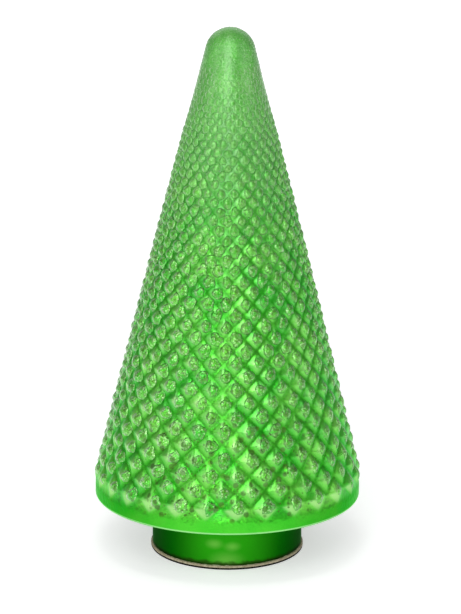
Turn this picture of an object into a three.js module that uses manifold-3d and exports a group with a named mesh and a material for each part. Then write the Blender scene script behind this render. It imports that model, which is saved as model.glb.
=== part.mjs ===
// A glass cone tree for a table or mantel. The green glass is moulded all over with rows of
// pointed nubs and silvered inside. A battery base in its neck carries a post wound with small lights.
// Millimetres, +Z up, the table at z = 0, the tree's axis on Z, its front towards -Y.
import * as THREE from "three";
import { mergeVertices } from "three/addons/utils/BufferGeometryUtils.js";
import Module from "manifold-3d";

const wasm = await Module();
wasm.setup();

// Driving sizes of the glass
const TREE_HEIGHT = 343;
const TIP_DOME_RADIUS = 16; // the round end at the very top
const RIM_RADIUS = 86.3; // the smooth band and the rim under the nubs
const RIM_HEIGHT = 37.9; // from the table to the middle of the rim's round edge
const RIM_ROUND = 1.3;
const BAND_HEIGHT = 6.1; // smooth band between the rim and the lowest nubs
const NECK_RADIUS = 49;
const NECK_FILLET = 3;
const GLASS_WALL = 2.7;

// Nubs: four-sided points in staggered rows, as many round the top as round the bottom
const NUB_COLUMNS = 28;
const NUB_TURN = 3.7; // degrees from the front to the first tip of the lowest row
const NUB_RELIEF = 3.3; // height of the lowest nubs, which shrink with the cone above
const NUB_ROW_PITCH = 9.9; // from the band to the lowest row
const NUB_TOP_PITCH = 3.2; // where the cone meets the dome
const NUB_FADE_LENGTH = 60; // height over which the nubs melt into the glass
const NUB_FADE_DROP = 21; // from the tip to where the last of them is gone

// Rings under the neck
const FOAM_THICKNESS = 0.9;
const FOAM_SETBACK = 0.4; // how far the foam's edges stand back from the cork's
const CORK_THICKNESS = 1.4;
const CORK_OVERHANG = 1; // past the neck
const CORK_WIDTH = 8;

// Clearances
const FIT_GAP = 0.3; // between pieces that seat on each other
const RUN_GAP = 0.4; // round pieces that turn or slide
const GLUE_GAP = 1.5; // between the tray and the inside of the neck, filled with glue
const GLUE_HEIGHT = 5;

// Cells: three of the AAA size, side by side along X
const CELL_RADIUS = 5.25;
const CELL_LENGTH = 44.5; // with the nub on its plus end
const CELL_NUB_RADIUS = 1.9;
const CELL_NUB_LENGTH = 0.8;
const CELL_COUNT = 3;
const CELL_GAP = 0.5; // from each cell to the next

// Sheet metal contacts and their springs
const CONTACT_THICKNESS = 0.5;
const CONTACT_WIDTH = 8;
const CONTACT_DROP = 3.6; // plate above and below the cell's axis
const TAB_WIDTH = 3;
const TAB_RISE = 2; // tab standing above the bay's ceiling
const SPRING_SPACE = 3.2; // between the plate and the cell's flat end
const SPRING_WIRE = 0.32;
const SPRING_FOOT_RADIUS = 3.4;
const SPRING_TIP_RADIUS = 2.1;
const SPRING_TURNS = 2.5;

// Battery tray, its cover and its door
const TRAY_WALL = 2;
const TRAY_FLOOR = 2;
const BAY_WALL = 1.6;
const WIRE_ROOM = 6; // between the bay's ceiling and the cover
const WELL_OFFSET = 3.5; // the door's centre behind the tree's axis
const LUG_REACH = 2;
const LUG_THICKNESS = 1.5;
const LUG_COUNT = 3;
const LUG_ANGLE = 20;
const NOTCH_ROOM = 3; // degrees on each side of a lug in its notch
const DOOR_TURN = 30; // degrees from locked to free
const STOP_ANGLE = 4;
const STOP_ROOM = 1.5; // degrees between a locked lug and its stop
const COLLAR_WALL = 2.2;
const GRIP_LENGTH = 34;
const GRIP_WIDTH = 5;
const GRIP_DEPTH = 1.3;
const COVER_THICKNESS = 1.8;
const SOCKET_DEPTH = 12;
const SOCKET_WALL = 2.2;

// Screws that hold the cover
const SCREW_RADIUS = 1.2;
const SCREW_LENGTH = 11;
const SCREW_HOLE_ROOM = 1; // below the screw's point
const SCREW_HEAD_RADIUS = 2.6;
const SCREW_HEAD_TOP_RADIUS = 1.6;
const SCREW_HEAD_HEIGHT = 1.7;
const SCREW_SLOT_REACH = 1.8; // from the middle of the head
const SCREW_SLOT_WIDTH = 0.7;
const SCREW_SLOT_DEPTH = 0.9;
const BOSS_RADIUS = 3.2;
const BOSS_ANGLES = [-53, 30, 150, 233]; // degrees from +X

// Circuit board, upright in front of the well, and what it carries
const BOARD_WIDTH = 30;
const BOARD_HEIGHT = 14.2;
const BOARD_THICKNESS = 1.5;
const BOARD_SETBACK = 0.8; // from the well's wall
const RIB_WIDTH = 4;
const RIB_DEPTH = 5.3;
const RIB_GRIP = 1.8; // how far each rib covers the board's side
const RIB_DROP = 3; // from the board's top to the ribs' top
const CHIP_RADIUS = 3.4;
const CHIP_HEIGHT = 1.5;
const CHIP_PLACE = [8, 9]; // across from the middle, up from the board's lower edge
const QUARTZ_RADIUS = 1;
const QUARTZ_LENGTH = 6;
const QUARTZ_PLACE = [-8.5, 10];
const RESISTOR_RADIUS = 0.8;
const RESISTOR_LENGTH = 4;
const RESISTOR_PLACE = [-8.5, 6];

// Slide switch with three places: off, on and timer
const SWITCH_HEIGHT = 4;
const SWITCH_WALL = 0.6;
const SLIDER_TRAVEL = 4;
const CARRIAGE_LENGTH = 3;
const CARRIAGE_DEPTH = 1.8;
const STEM_LENGTH = 2;
const STEM_DEPTH = 1.4;
const KNOB_LIFT = 1; // the knob's end above the table

// Light post, its cap, the wound wire and its lights
const POST_RADIUS = 8;
const POST_WALL = 1.4;
const POST_HEADROOM = 94.3; // from the post's top to the tip of the glass
const CAP_HEIGHT = 3;
const CAP_OVERHANG = 1.2;
const CAP_BEVEL = 2.7;
const CAP_SPIGOT = 8;
const WIRE_RADIUS = 0.45;
const WIRE_HOLE_ROOM = 1;
const WIRE_X = -4; // where the wire leaves the board
const WIRE_BEND = 14;
const COIL_TURNS = 9;
const COIL_FOOT = 5; // the coil's start above the socket
const COIL_HEADROOM = 8; // the coil's end below the post's top
const COIL_STEPS = 12; // per turn
const BEAD_COUNT = 12;
const BEAD_RADIUS = 2.2;
const BEAD_LENGTH = 5;
const BEAD_BORE_ROOM = 0.7; // round the wire, which bends inside the bead

// Leads from the cells to the board
const LEAD_RADIUS = 0.6;
const LEAD_BEND = 7; // how far each lead runs on from its tab before it turns
const LEAD_LIFT = 2.5;
const LEAD_X = 10; // each lead's place on the board, left and right of its middle

// Facets
const GLASS_INNER_SIDES = 40;
const RING_SIDES = 48;
const POST_SIDES = 20;
const CELL_SIDES = 16;
const SMALL_SIDES = 12;
const BEAD_SIDES = 10;
const LEAD_SIDES = 6;
const WIRE_SIDES = 5;
const RIM_STEPS = 3;
const FILLET_STEPS = 2;
const DOME_STEPS = 5;
const DOME_INNER_STEPS = 4;
const CHIP_STEPS = 3;
const BEAD_STEPS = 4;
const SECTOR_STEPS = 6;
const SPRING_STEPS = 10; // per turn
const LEAD_STEPS = 16;
const RISER_STEPS = 8; // of the wire between the cover and the coil

// Heights that follow from the sizes above
const baseZ = FOAM_THICKNESS + CORK_THICKNESS;
const floorTop = baseZ + TRAY_FLOOR;
const lugBottom = floorTop + RUN_GAP;
const lugTop = lugBottom + LUG_THICKNESS;
const cavityTop = lugTop + RUN_GAP;
const cellZ = lugTop + FIT_GAP + CELL_RADIUS;
const bayCeiling = cellZ + CELL_RADIUS + FIT_GAP;
const ceilingTop = bayCeiling + BAY_WALL;
const boardBottom = floorTop + FIT_GAP;
const boardTop = boardBottom + BOARD_HEIGHT;
const trayTop = Math.max(ceilingTop, boardTop) + WIRE_ROOM;
const coverTop = trayTop + COVER_THICKNESS;
const socketTop = coverTop + SOCKET_DEPTH;
const postTop = TREE_HEIGHT - POST_HEADROOM;

// Plan of the base
const neckInner = NECK_RADIUS - GLASS_WALL;
const trayRadius = neckInner - GLUE_GAP;
const bayHalfX = (CELL_LENGTH + SPRING_SPACE + FIT_GAP) / 2 + CONTACT_THICKNESS + FIT_GAP;
const cellSpacing = 2 * CELL_RADIUS + CELL_GAP;
const bayHalfY = ((CELL_COUNT - 1) * cellSpacing) / 2 + CELL_RADIUS + RUN_GAP;
const holeRadius = Math.hypot(bayHalfX, bayHalfY) + FIT_GAP;
const doorRadius = holeRadius - RUN_GAP;
const lugRadius = holeRadius + LUG_REACH;
const cavityRadius = lugRadius + RUN_GAP;
const wellRadius = cavityRadius + BAY_WALL;
const boardBack = WELL_OFFSET - wellRadius - BOARD_SETBACK;
const boardFront = boardBack - BOARD_THICKNESS;
const boardMiddle = (boardBack + boardFront) / 2;
const plateX = bayHalfX - FIT_GAP; // outer face of a contact plate

const RAD = Math.PI / 180;
const WELD = 1e-4; // points nearer than this are one

// Materials
const material = (color, roughness, metalness) =>
  new THREE.MeshStandardMaterial({ color, roughness, metalness });
const LOOKS = {
  glass: () => material(0x2faa2a, 0.28, 0.45),
  cork: () => material(0xb9a487, 0.9, 0),
  foam: () => material(0x17150f, 0.95, 0),
  glue: () => material(0x9fae86, 0.5, 0),
  blackPlastic: () => material(0x1b1b1c, 0.5, 0),
  whitePlastic: () => material(0xd8d6cf, 0.45, 0),
  clearPlastic: () => material(0xe4ecec, 0.1, 0),
  cellWrap: () => material(0x3a4a52, 0.35, 0.3),
  steel: () => material(0xb9bbbd, 0.3, 0.95),
  board: () => material(0x1f6a3c, 0.5, 0),
  chip: () => material(0x111112, 0.4, 0),
  resistor: () => material(0xc9a877, 0.5, 0),
  copper: () => material(0xb87345, 0.35, 0.9),
  bead: () => material(0xffe9b8, 0.15, 0),
  leadRed: () => material(0xb3201c, 0.45, 0),
  leadBlack: () => material(0x161616, 0.45, 0),
};

const tree = new THREE.Group();

function add(name, geometry, look) {
  const mesh = new THREE.Mesh(geometry, LOOKS[look]());
  mesh.name = name;
  tree.add(mesh);
  return mesh;
}

// Solids from geometries, and back
function solidOf(geometry) {
  const bare = geometry.clone();
  bare.deleteAttribute("normal");
  bare.deleteAttribute("uv");
  const merged = mergeVertices(bare, WELD);
  const mesh = new wasm.Mesh({
    numProp: 3,
    vertProperties: merged.attributes.position.array,
    triVerts: new Uint32Array(merged.index.array),
  });
  return new wasm.Manifold(mesh);
}

function geometryOf(solid) {
  const mesh = solid.getMesh();
  const geometry = new THREE.BufferGeometry();
  geometry.setAttribute("position", new THREE.BufferAttribute(mesh.vertProperties, 3));
  geometry.setIndex(new THREE.BufferAttribute(mesh.triVerts, 1));
  geometry.computeVertexNormals();
  return geometry;
}

const join = (...pieces) => geometryOf(pieces.map(solidOf).reduce((all, next) => all.add(next)));
const cut = (body, ...tools) =>
  geometryOf(tools.map(solidOf).reduce((rest, tool) => rest.subtract(tool), solidOf(body)));
const common = (a, b) => geometryOf(solidOf(a).intersect(solidOf(b)));

// Basic shapes, each closed
function block(x0, x1, y0, y1, z0, z1) {
  const geometry = new THREE.BoxGeometry(x1 - x0, y1 - y0, z1 - z0);
  return geometry.translate((x0 + x1) / 2, (y0 + y1) / 2, (z0 + z1) / 2);
}

function rod(radius, z0, z1, sides, x = 0, y = 0) {
  const geometry = new THREE.CylinderGeometry(radius, radius, z1 - z0, sides);
  return geometry.rotateX(Math.PI / 2).translate(x, y, (z0 + z1) / 2);
}

// A profile of [radius, height] pairs turned about Z
function turned(profile, sides) {
  const points = profile.map(([radius, height]) => new THREE.Vector2(radius, height));
  return new THREE.LatheGeometry(points, sides).rotateX(Math.PI / 2);
}

function ring(inner, outer, z0, z1, sides = RING_SIDES) {
  return turned([[inner, z0], [outer, z0], [outer, z1], [inner, z1], [inner, z0]], sides);
}

// Part of a ring between two angles in degrees
function sector(inner, outer, from, to, z0, z1) {
  const shape = new THREE.Shape();
  shape.absarc(0, 0, outer, from * RAD, to * RAD, false);
  shape.absarc(0, 0, inner, to * RAD, from * RAD, true);
  shape.closePath();
  const geometry = new THREE.ExtrudeGeometry(shape, {
    depth: z1 - z0,
    bevelEnabled: false,
    curveSegments: SECTOR_STEPS,
  });
  return geometry.translate(0, 0, z0);
}

function tube(curve, radius, sides, steps) {
  const shape = new THREE.Shape();
  for (let i = 0; i < sides; i++) {
    const angle = (i / sides) * 2 * Math.PI;
    const x = radius * Math.cos(angle);
    const y = radius * Math.sin(angle);
    if (i === 0) shape.moveTo(x, y);
    else shape.lineTo(x, y);
  }
  shape.closePath();
  return new THREE.ExtrudeGeometry(shape, { steps, extrudePath: curve, bevelEnabled: false });
}

// Arc of [radius, height] points about a centre, from one angle to another in degrees
function arc(r, z, radius, from, to, steps) {
  return Array.from({ length: steps + 1 }, (_, i) => {
    const angle = (from + ((to - from) * i) / steps) * RAD;
    return [r + radius * Math.cos(angle), z + radius * Math.sin(angle)];
  });
}

// The plain cone under the nubs leaves the band at its top and meets the dome smoothly.
const nubStart = RIM_HEIGHT + BAND_HEIGHT;
const domeZ = TREE_HEIGHT - TIP_DOME_RADIUS;
const coneRise = domeZ - nubStart;
const coneLean =
  Math.acos(TIP_DOME_RADIUS / Math.hypot(RIM_RADIUS, coneRise)) - Math.atan2(coneRise, RIM_RADIUS);
const domeStart = domeZ + TIP_DOME_RADIUS * Math.sin(coneLean);
const shoulderZ = RIM_HEIGHT - RIM_ROUND;
const nubFadeEnd = TREE_HEIGHT - NUB_FADE_DROP;

const coneRadius = (z) => RIM_RADIUS - (z - nubStart) * Math.tan(coneLean);

// Height of the nubs over that cone
function relief(z) {
  const fade = 1 - THREE.MathUtils.smoothstep(z, nubFadeEnd - NUB_FADE_LENGTH, nubFadeEnd);
  return (NUB_RELIEF * coneRadius(z) * fade) / RIM_RADIUS;
}

function rowPitch(z) {
  const share = (z - nubStart) / (domeStart - nubStart);
  return THREE.MathUtils.lerp(NUB_ROW_PITCH, NUB_TOP_PITCH, share);
}

function nubRows() {
  const rows = [];
  const end = Math.min(domeStart, nubFadeEnd);
  for (let z = nubStart + rowPitch(nubStart); z < end; z += rowPitch(z)) {
    rows.push({ z, valley: coneRadius(z), tip: coneRadius(z) + relief(z) });
  }
  return rows;
}

// The outside as rings of points in which tips and valleys alternate, and shift by one from row to row
function glassOutside() {
  const smooth = (profile) => profile.map(([radius, z]) => ({ z, valley: radius, tip: radius }));
  const foot = smooth([
    [NECK_RADIUS, baseZ],
    ...arc(NECK_RADIUS + NECK_FILLET, shoulderZ - NECK_FILLET, NECK_FILLET, 180, 90, FILLET_STEPS),
    ...arc(RIM_RADIUS - RIM_ROUND, RIM_HEIGHT, RIM_ROUND, -90, 0, RIM_STEPS),
    [RIM_RADIUS, nubStart],
  ]);
  const dome = smooth(arc(0, domeZ, TIP_DOME_RADIUS, coneLean / RAD, 90, DOME_STEPS).slice(0, -1));
  const rings = [...foot, ...nubRows(), ...dome];
  const sides = 2 * NUB_COLUMNS;
  const isTip = (k, j) => (k - foot.length + j) % 2 === 0;
  const positions = [];
  rings.forEach(({ z, valley, tip }, k) => {
    for (let j = 0; j < sides; j++) {
      const angle = NUB_TURN * RAD + (j / sides) * 2 * Math.PI;
      const radius = isTip(k, j) ? tip : valley;
      positions.push(radius * Math.sin(angle), -radius * Math.cos(angle), z);
    }
  });
  const bottom = rings.length * sides;
  const top = bottom + 1;
  positions.push(0, 0, baseZ, 0, 0, TREE_HEIGHT);
  const faces = [];
  for (let j = 0; j < sides; j++) {
    const next = (j + 1) % sides;
    faces.push(bottom, next, j);
    for (let k = 0; k + 1 < rings.length; k++) {
      const a = k * sides + j;
      const b = k * sides + next;
      const c = b + sides;
      const d = a + sides;
      if (isTip(k, j)) faces.push(a, b, d, b, c, d);
      else faces.push(a, b, c, a, c, d);
    }
    faces.push(top, bottom - sides + j, bottom - sides + next);
  }
  const geometry = new THREE.BufferGeometry();
  geometry.setAttribute("position", new THREE.Float32BufferAttribute(positions, 3));
  geometry.setIndex(faces);
  return geometry;
}

function glassInside() {
  const rimInner = RIM_RADIUS - GLASS_WALL;
  const wallAcross = GLASS_WALL / Math.cos(coneLean);
  const bend = nubStart - (wallAcross - GLASS_WALL) / Math.tan(coneLean);
  const below = baseZ - GLASS_WALL;
  const domeInner = TIP_DOME_RADIUS - GLASS_WALL;
  return turned(
    [
      [0, below],
      [neckInner, below],
      [neckInner, shoulderZ + GLASS_WALL],
      [rimInner, shoulderZ + GLASS_WALL],
      [rimInner, bend],
      ...arc(0, domeZ, domeInner, coneLean / RAD, 90, DOME_INNER_STEPS).slice(0, -1),
      [0, TREE_HEIGHT - GLASS_WALL],
    ],
    GLASS_INNER_SIDES,
  );
}

function buildGlass() {
  add("glass_shell", cut(glassOutside(), glassInside()), "glass");
}

function buildFootRings() {
  const outer = NECK_RADIUS + CORK_OVERHANG;
  const inner = outer - CORK_WIDTH;
  add("cork_ring", ring(inner, outer, FOAM_THICKNESS, baseZ), "cork");
  add("foam_ring", ring(inner + FOAM_SETBACK, outer - FOAM_SETBACK, 0, FOAM_THICKNESS), "foam");
  const glueInner = trayRadius + FIT_GAP;
  add("glue_bead", ring(glueInner, neckInner - FIT_GAP, baseZ, baseZ + GLUE_HEIGHT), "glue");
}

// Places round the door's centre
const aboutWell = (geometry) => geometry.translate(0, WELL_OFFSET, 0);
const lugAngles = Array.from({ length: LUG_COUNT }, (_, i) => 90 + (360 * i) / LUG_COUNT);
const cellRows = Array.from({ length: CELL_COUNT }, (_, i) => (i - (CELL_COUNT - 1) / 2) * cellSpacing);

// Each boss stands halfway into the tray's wall.
const bossRing = trayRadius - TRAY_WALL / 2 - BOSS_RADIUS;
const screwBottom = coverTop - SCREW_LENGTH;
const screwSpots = BOSS_ANGLES.map((angle) => [
  bossRing * Math.cos(angle * RAD),
  bossRing * Math.sin(angle * RAD),
]);

const switchLength = SLIDER_TRAVEL + CARRIAGE_LENGTH + 2 * (FIT_GAP + SWITCH_WALL);
const switchDepth = CARRIAGE_DEPTH + 2 * (FIT_GAP + SWITCH_WALL);
const switchY = boardFront - switchDepth / 2;
const slotHalfX = (SLIDER_TRAVEL + STEM_LENGTH) / 2 + FIT_GAP;
const slotHalfY = STEM_DEPTH / 2 + FIT_GAP;

// Cells lie in a row, every other one turned round. The first has its plus end towards +X.
const plateInner = plateX - CONTACT_THICKNESS;
const plusSide = (row) => (row % 2 === 0 ? 1 : -1);
const lastRow = CELL_COUNT - 1;
const minusTab = { side: -plusSide(0), row: 0 };
const plusTab = { side: plusSide(lastRow), row: lastRow };

// The tray: a cup with a round well in its floor, which holds the cells above the twist door
function buildTray() {
  const wallInner = trayRadius - TRAY_WALL;
  const cup = turned(
    [
      [0, baseZ],
      [trayRadius, baseZ],
      [trayRadius, trayTop],
      [wallInner, trayTop],
      [wallInner, floorTop],
      [0, floorTop],
    ],
    RING_SIDES,
  );
  const well = aboutWell(rod(wellRadius, baseZ, ceilingTop, RING_SIDES));
  const bosses = screwSpots.map(([x, y]) => rod(BOSS_RADIUS, baseZ, trayTop, SMALL_SIDES, x, y));
  const ribInner = BOARD_WIDTH / 2 - RIB_GRIP;
  const ribs = [-1, 1].map((side) => {
    const ends = [side * ribInner, side * (ribInner + RIB_WIDTH)].sort((a, b) => a - b);
    const y = boardMiddle;
    return block(ends[0], ends[1], y - RIB_DEPTH / 2, y + RIB_DEPTH / 2, baseZ, boardTop - RIB_DROP);
  });
  const solid = join(cup, well, ...bosses, ...ribs);

  const below = baseZ - TRAY_FLOOR;
  const above = trayTop + TRAY_FLOOR;
  const bay = block(-bayHalfX, bayHalfX, -bayHalfY, bayHalfY, floorTop, bayCeiling);
  const notches = lugAngles.map((angle) => {
    const free = angle + DOOR_TURN;
    const half = LUG_ANGLE / 2 + NOTCH_ROOM;
    const outer = lugRadius + FIT_GAP;
    return sector(doorRadius - LUG_REACH, outer, free - half, free + half, below, lugBottom);
  });
  const tabSlots = [minusTab, plusTab].map(({ side, row }) => {
    const ends = [side * (plateInner - FIT_GAP), side * bayHalfX].sort((a, b) => a - b);
    const y = cellRows[row];
    const half = TAB_WIDTH / 2 + FIT_GAP;
    return block(ends[0], ends[1], y - half, y + half, cellZ, ceilingTop + BAY_WALL);
  });
  const openings = [rod(holeRadius, below, lugBottom, RING_SIDES), ...notches, bay, ...tabSlots];
  const cavity = rod(cavityRadius, floorTop, cavityTop, RING_SIDES);
  const wellCuts = [cavity, ...openings, ...coreOuts()].map(aboutWell);
  const screwHoles = screwSpots.map(([x, y]) =>
    rod(SCREW_RADIUS + FIT_GAP, screwBottom - SCREW_HOLE_ROOM, above, SMALL_SIDES, x, y),
  );
  const grooveX = BOARD_WIDTH / 2 + FIT_GAP;
  const groove = block(-grooveX, grooveX, boardFront - FIT_GAP, boardBack + FIT_GAP, floorTop, above);
  const slot = block(-slotHalfX, slotHalfX, switchY - slotHalfY, switchY + slotHalfY, below, lugTop);
  const hollowed = cut(solid, ...wellCuts, ...screwHoles, groove, slot);
  add("battery_tray", join(hollowed, ...doorStops().map(aboutWell)), "blackPlastic");
}

// Pockets in the two thick sides of the well, open at the top, so that its walls stay even
function coreOuts() {
  const round = rod(wellRadius - BAY_WALL, cavityTop + BAY_WALL, trayTop, RING_SIDES);
  const y = bayHalfY + BAY_WALL;
  const pockets = [];
  for (const sideX of [-1, 1]) {
    for (const sideY of [-1, 1]) {
      const xs = [(sideX * BAY_WALL) / 2, sideX * wellRadius].sort((a, b) => a - b);
      const ys = [sideY * y, sideY * wellRadius].sort((a, b) => a - b);
      pockets.push(common(round, block(xs[0], xs[1], ys[0], ys[1], 0, trayTop)));
    }
  }
  return pockets;
}

// Small blocks on the ledge that the door's lugs run up against when it is locked
function doorStops() {
  const inner = holeRadius + RUN_GAP;
  const outer = cavityRadius + BAY_WALL / 2;
  return lugAngles.map((angle) => {
    const start = angle - LUG_ANGLE / 2 - STOP_ROOM - STOP_ANGLE;
    return sector(inner, outer, start, start + STOP_ANGLE, floorTop - RUN_GAP, lugTop);
  });
}

function buildCover() {
  const disc = rod(trayRadius, trayTop, coverTop, RING_SIDES);
  const socketInner = POST_RADIUS + FIT_GAP;
  const socket = ring(socketInner, socketInner + SOCKET_WALL, trayTop, socketTop, POST_SIDES);
  const below = trayTop - COVER_THICKNESS;
  const above = coverTop + COVER_THICKNESS;
  const holes = screwSpots.map(([x, y]) =>
    rod(SCREW_RADIUS + FIT_GAP, below, above, SMALL_SIDES, x, y),
  );
  const wireHole = rod(WIRE_RADIUS + WIRE_HOLE_ROOM, below, above, SMALL_SIDES, WIRE_X, boardMiddle);
  add("tray_cover", cut(join(disc, socket), ...holes, wireHole), "blackPlastic");
}

function buildScrews() {
  const headTop = coverTop + SCREW_HEAD_HEIGHT;
  const profile = [
    [0, screwBottom],
    [SCREW_RADIUS, screwBottom + SCREW_RADIUS],
    [SCREW_RADIUS, coverTop],
    [SCREW_HEAD_RADIUS, coverTop],
    [SCREW_HEAD_RADIUS, coverTop + SCREW_HEAD_HEIGHT / 2],
    [SCREW_HEAD_TOP_RADIUS, headTop],
    [0, headTop],
  ];
  const reach = SCREW_SLOT_REACH;
  const half = SCREW_SLOT_WIDTH / 2;
  const slotZ = headTop - SCREW_SLOT_DEPTH;
  const across = block(-reach, reach, -half, half, slotZ, headTop + half);
  const along = block(-half, half, -reach, reach, slotZ, headTop + half);
  const screw = cut(turned(profile, SMALL_SIDES), across, along);
  screwSpots.forEach(([x, y], i) => {
    add("cover_screw_" + (i + 1), screw.clone().translate(x, y, 0), "steel");
  });
}

// The twist door: a disc with a collar, whose lugs turn in over the tray's ledge
function buildDoor() {
  const plate = rod(doorRadius, baseZ, floorTop, RING_SIDES);
  const collar = ring(doorRadius - COLLAR_WALL, doorRadius, baseZ, lugTop);
  const lugs = lugAngles.map((angle) => {
    const from = angle - LUG_ANGLE / 2;
    const inner = doorRadius - COLLAR_WALL / 2;
    return sector(inner, lugRadius, from, from + LUG_ANGLE, lugBottom, lugTop);
  });
  const grip = block(
    -GRIP_LENGTH / 2,
    GRIP_LENGTH / 2,
    -GRIP_WIDTH / 2,
    GRIP_WIDTH / 2,
    baseZ - GRIP_DEPTH,
    floorTop,
  );
  add("battery_door", aboutWell(join(plate, collar, ...lugs, grip)), "blackPlastic");
}

function buildCells() {
  const minusEnd = SPRING_SPACE - plateInner;
  const shoulder = minusEnd + CELL_LENGTH - CELL_NUB_LENGTH;
  const profile = [
    [0, minusEnd],
    [CELL_RADIUS, minusEnd],
    [CELL_RADIUS, shoulder],
    [CELL_NUB_RADIUS, shoulder],
    [CELL_NUB_RADIUS, minusEnd + CELL_LENGTH],
    [0, minusEnd + CELL_LENGTH],
  ];
  cellRows.forEach((y, row) => {
    const cell = turned(profile, CELL_SIDES).rotateY((plusSide(row) * Math.PI) / 2);
    add("battery_cell_" + (row + 1), aboutWell(cell.translate(0, y, cellZ)), "cellWrap");
  });
}

// A cone of wire from a contact plate to the flat end of a cell, drawn for the end at +X
function contactSpring(y) {
  const start = plateInner;
  const end = plateInner - SPRING_SPACE + FIT_GAP + SPRING_WIRE;
  const steps = SPRING_STEPS * SPRING_TURNS;
  const points = Array.from({ length: steps + 1 }, (_, i) => {
    const share = i / steps;
    const angle = share * SPRING_TURNS * 2 * Math.PI;
    const radius = THREE.MathUtils.lerp(SPRING_FOOT_RADIUS, SPRING_TIP_RADIUS, share);
    const x = THREE.MathUtils.lerp(start, end, share * share);
    return new THREE.Vector3(x, y + radius * Math.cos(angle), cellZ + radius * Math.sin(angle));
  });
  return tube(new THREE.CatmullRomCurve3(points), SPRING_WIRE, WIRE_SIDES, steps);
}

// A contact over the given rows of cells, with a spring on each minus end and a tab if it has a lead
function contact(side, rows, hasTab) {
  const ys = rows.map((row) => cellRows[row] * side);
  const low = Math.min(...ys) - CONTACT_WIDTH / 2;
  const high = Math.max(...ys) + CONTACT_WIDTH / 2;
  const pieces = [block(plateInner, plateX, low, high, cellZ - CONTACT_DROP, cellZ + CONTACT_DROP)];
  rows.forEach((row, i) => {
    if (plusSide(row) !== side) pieces.push(contactSpring(ys[i]));
  });
  if (hasTab) {
    const half = TAB_WIDTH / 2;
    pieces.push(block(plateInner, plateX, ys[0] - half, ys[0] + half, cellZ, ceilingTop + TAB_RISE));
  }
  const geometry = join(...pieces);
  return aboutWell(side === 1 ? geometry : geometry.rotateZ(Math.PI));
}

function buildContacts() {
  add("contact_minus", contact(minusTab.side, [minusTab.row], true), "steel");
  add("contact_plus", contact(plusTab.side, [plusTab.row], true), "steel");
  for (let row = 0; row < lastRow; row++) {
    add("contact_link_" + (row + 1), contact(plusSide(row), [row, row + 1], false), "steel");
  }
}

// Leads run from the tabs over the bay's ceiling and down to the board's upper edge.
function buildLead(name, look, { side, row }, boardX) {
  const startX = side * (plateInner - FIT_GAP);
  const startZ = ceilingTop + FIT_GAP + LEAD_RADIUS;
  const start = new THREE.Vector3(startX, WELL_OFFSET + cellRows[row], startZ);
  const end = new THREE.Vector3(boardX, boardMiddle, boardTop + FIT_GAP);
  const leaving = start.clone().add(new THREE.Vector3(-side * LEAD_BEND, 0, LEAD_LIFT));
  const arriving = end.clone().add(new THREE.Vector3(0, 0, WIRE_ROOM));
  const curve = new THREE.CubicBezierCurve3(start, leaving, arriving, end);
  add(name, tube(curve, LEAD_RADIUS, LEAD_SIDES, LEAD_STEPS), look);
}

function buildBoard() {
  const half = BOARD_WIDTH / 2;
  add("circuit_board", block(-half, half, boardFront, boardBack, boardBottom, boardTop), "board");

  const [chipX, chipUp] = CHIP_PLACE;
  const drop = Array.from({ length: CHIP_STEPS }, (_, i) => {
    const angle = ((i / CHIP_STEPS) * Math.PI) / 2;
    return [CHIP_RADIUS * Math.cos(angle), CHIP_HEIGHT * Math.sin(angle)];
  });
  const chip = turned([[0, 0], ...drop, [0, CHIP_HEIGHT]], CELL_SIDES);
  chip.rotateX(Math.PI / 2).translate(chipX, boardFront, boardBottom + chipUp);
  add("timer_chip", chip, "chip");

  const lying = (radius, length, [x, up]) => {
    const geometry = rod(radius, -length / 2, length / 2, SMALL_SIDES).rotateY(Math.PI / 2);
    return geometry.translate(x, boardFront - FIT_GAP - radius, boardBottom + up);
  };
  add("quartz_can", lying(QUARTZ_RADIUS, QUARTZ_LENGTH, QUARTZ_PLACE), "steel");
  add("resistor", lying(RESISTOR_RADIUS, RESISTOR_LENGTH, RESISTOR_PLACE), "resistor");
}

function buildSwitch() {
  const z0 = boardBottom;
  const z1 = z0 + SWITCH_HEIGHT;
  const halfX = switchLength / 2;
  const halfY = switchDepth / 2;
  const wall = SWITCH_WALL;
  const shell = block(-halfX, halfX, switchY - halfY, boardFront, z0, z1);
  const hollow = block(
    wall - halfX,
    halfX - wall,
    switchY - halfY + wall,
    switchY + halfY - wall,
    z0 + wall,
    z1 - wall,
  );
  const low = switchY - slotHalfY;
  const high = switchY + slotHalfY;
  const slot = block(-slotHalfX, slotHalfX, low, high, baseZ, z0 + 2 * wall);
  add("switch_body", cut(shell, hollow, slot), "steel");

  const x = -SLIDER_TRAVEL / 2; // at rest at the off end
  const carriageX = CARRIAGE_LENGTH / 2;
  const carriageY = CARRIAGE_DEPTH / 2;
  const carriageZ = z0 + wall + FIT_GAP;
  const carriage = block(
    x - carriageX,
    x + carriageX,
    switchY - carriageY,
    switchY + carriageY,
    carriageZ,
    z1 - wall - FIT_GAP,
  );
  const stemX = STEM_LENGTH / 2;
  const front = switchY - STEM_DEPTH / 2;
  const back = switchY + STEM_DEPTH / 2;
  const stem = block(x - stemX, x + stemX, front, back, KNOB_LIFT, carriageZ + wall);
  add("switch_slider", join(carriage, stem), "whitePlastic");
}

function buildPost() {
  const bore = POST_RADIUS - POST_WALL;
  add("light_post", ring(bore, POST_RADIUS, coverTop, postTop, POST_SIDES), "clearPlastic");
  const spigot = bore - FIT_GAP;
  const brim = POST_RADIUS + CAP_OVERHANG;
  const cap = turned(
    [
      [0, postTop - CAP_SPIGOT],
      [spigot, postTop - CAP_SPIGOT],
      [spigot, postTop],
      [brim, postTop],
      [brim, postTop + CAP_HEIGHT / 2],
      [brim - CAP_BEVEL, postTop + CAP_HEIGHT],
      [0, postTop + CAP_HEIGHT],
    ],
    POST_SIDES,
  );
  add("post_cap", cap, "whitePlastic");
}

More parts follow.
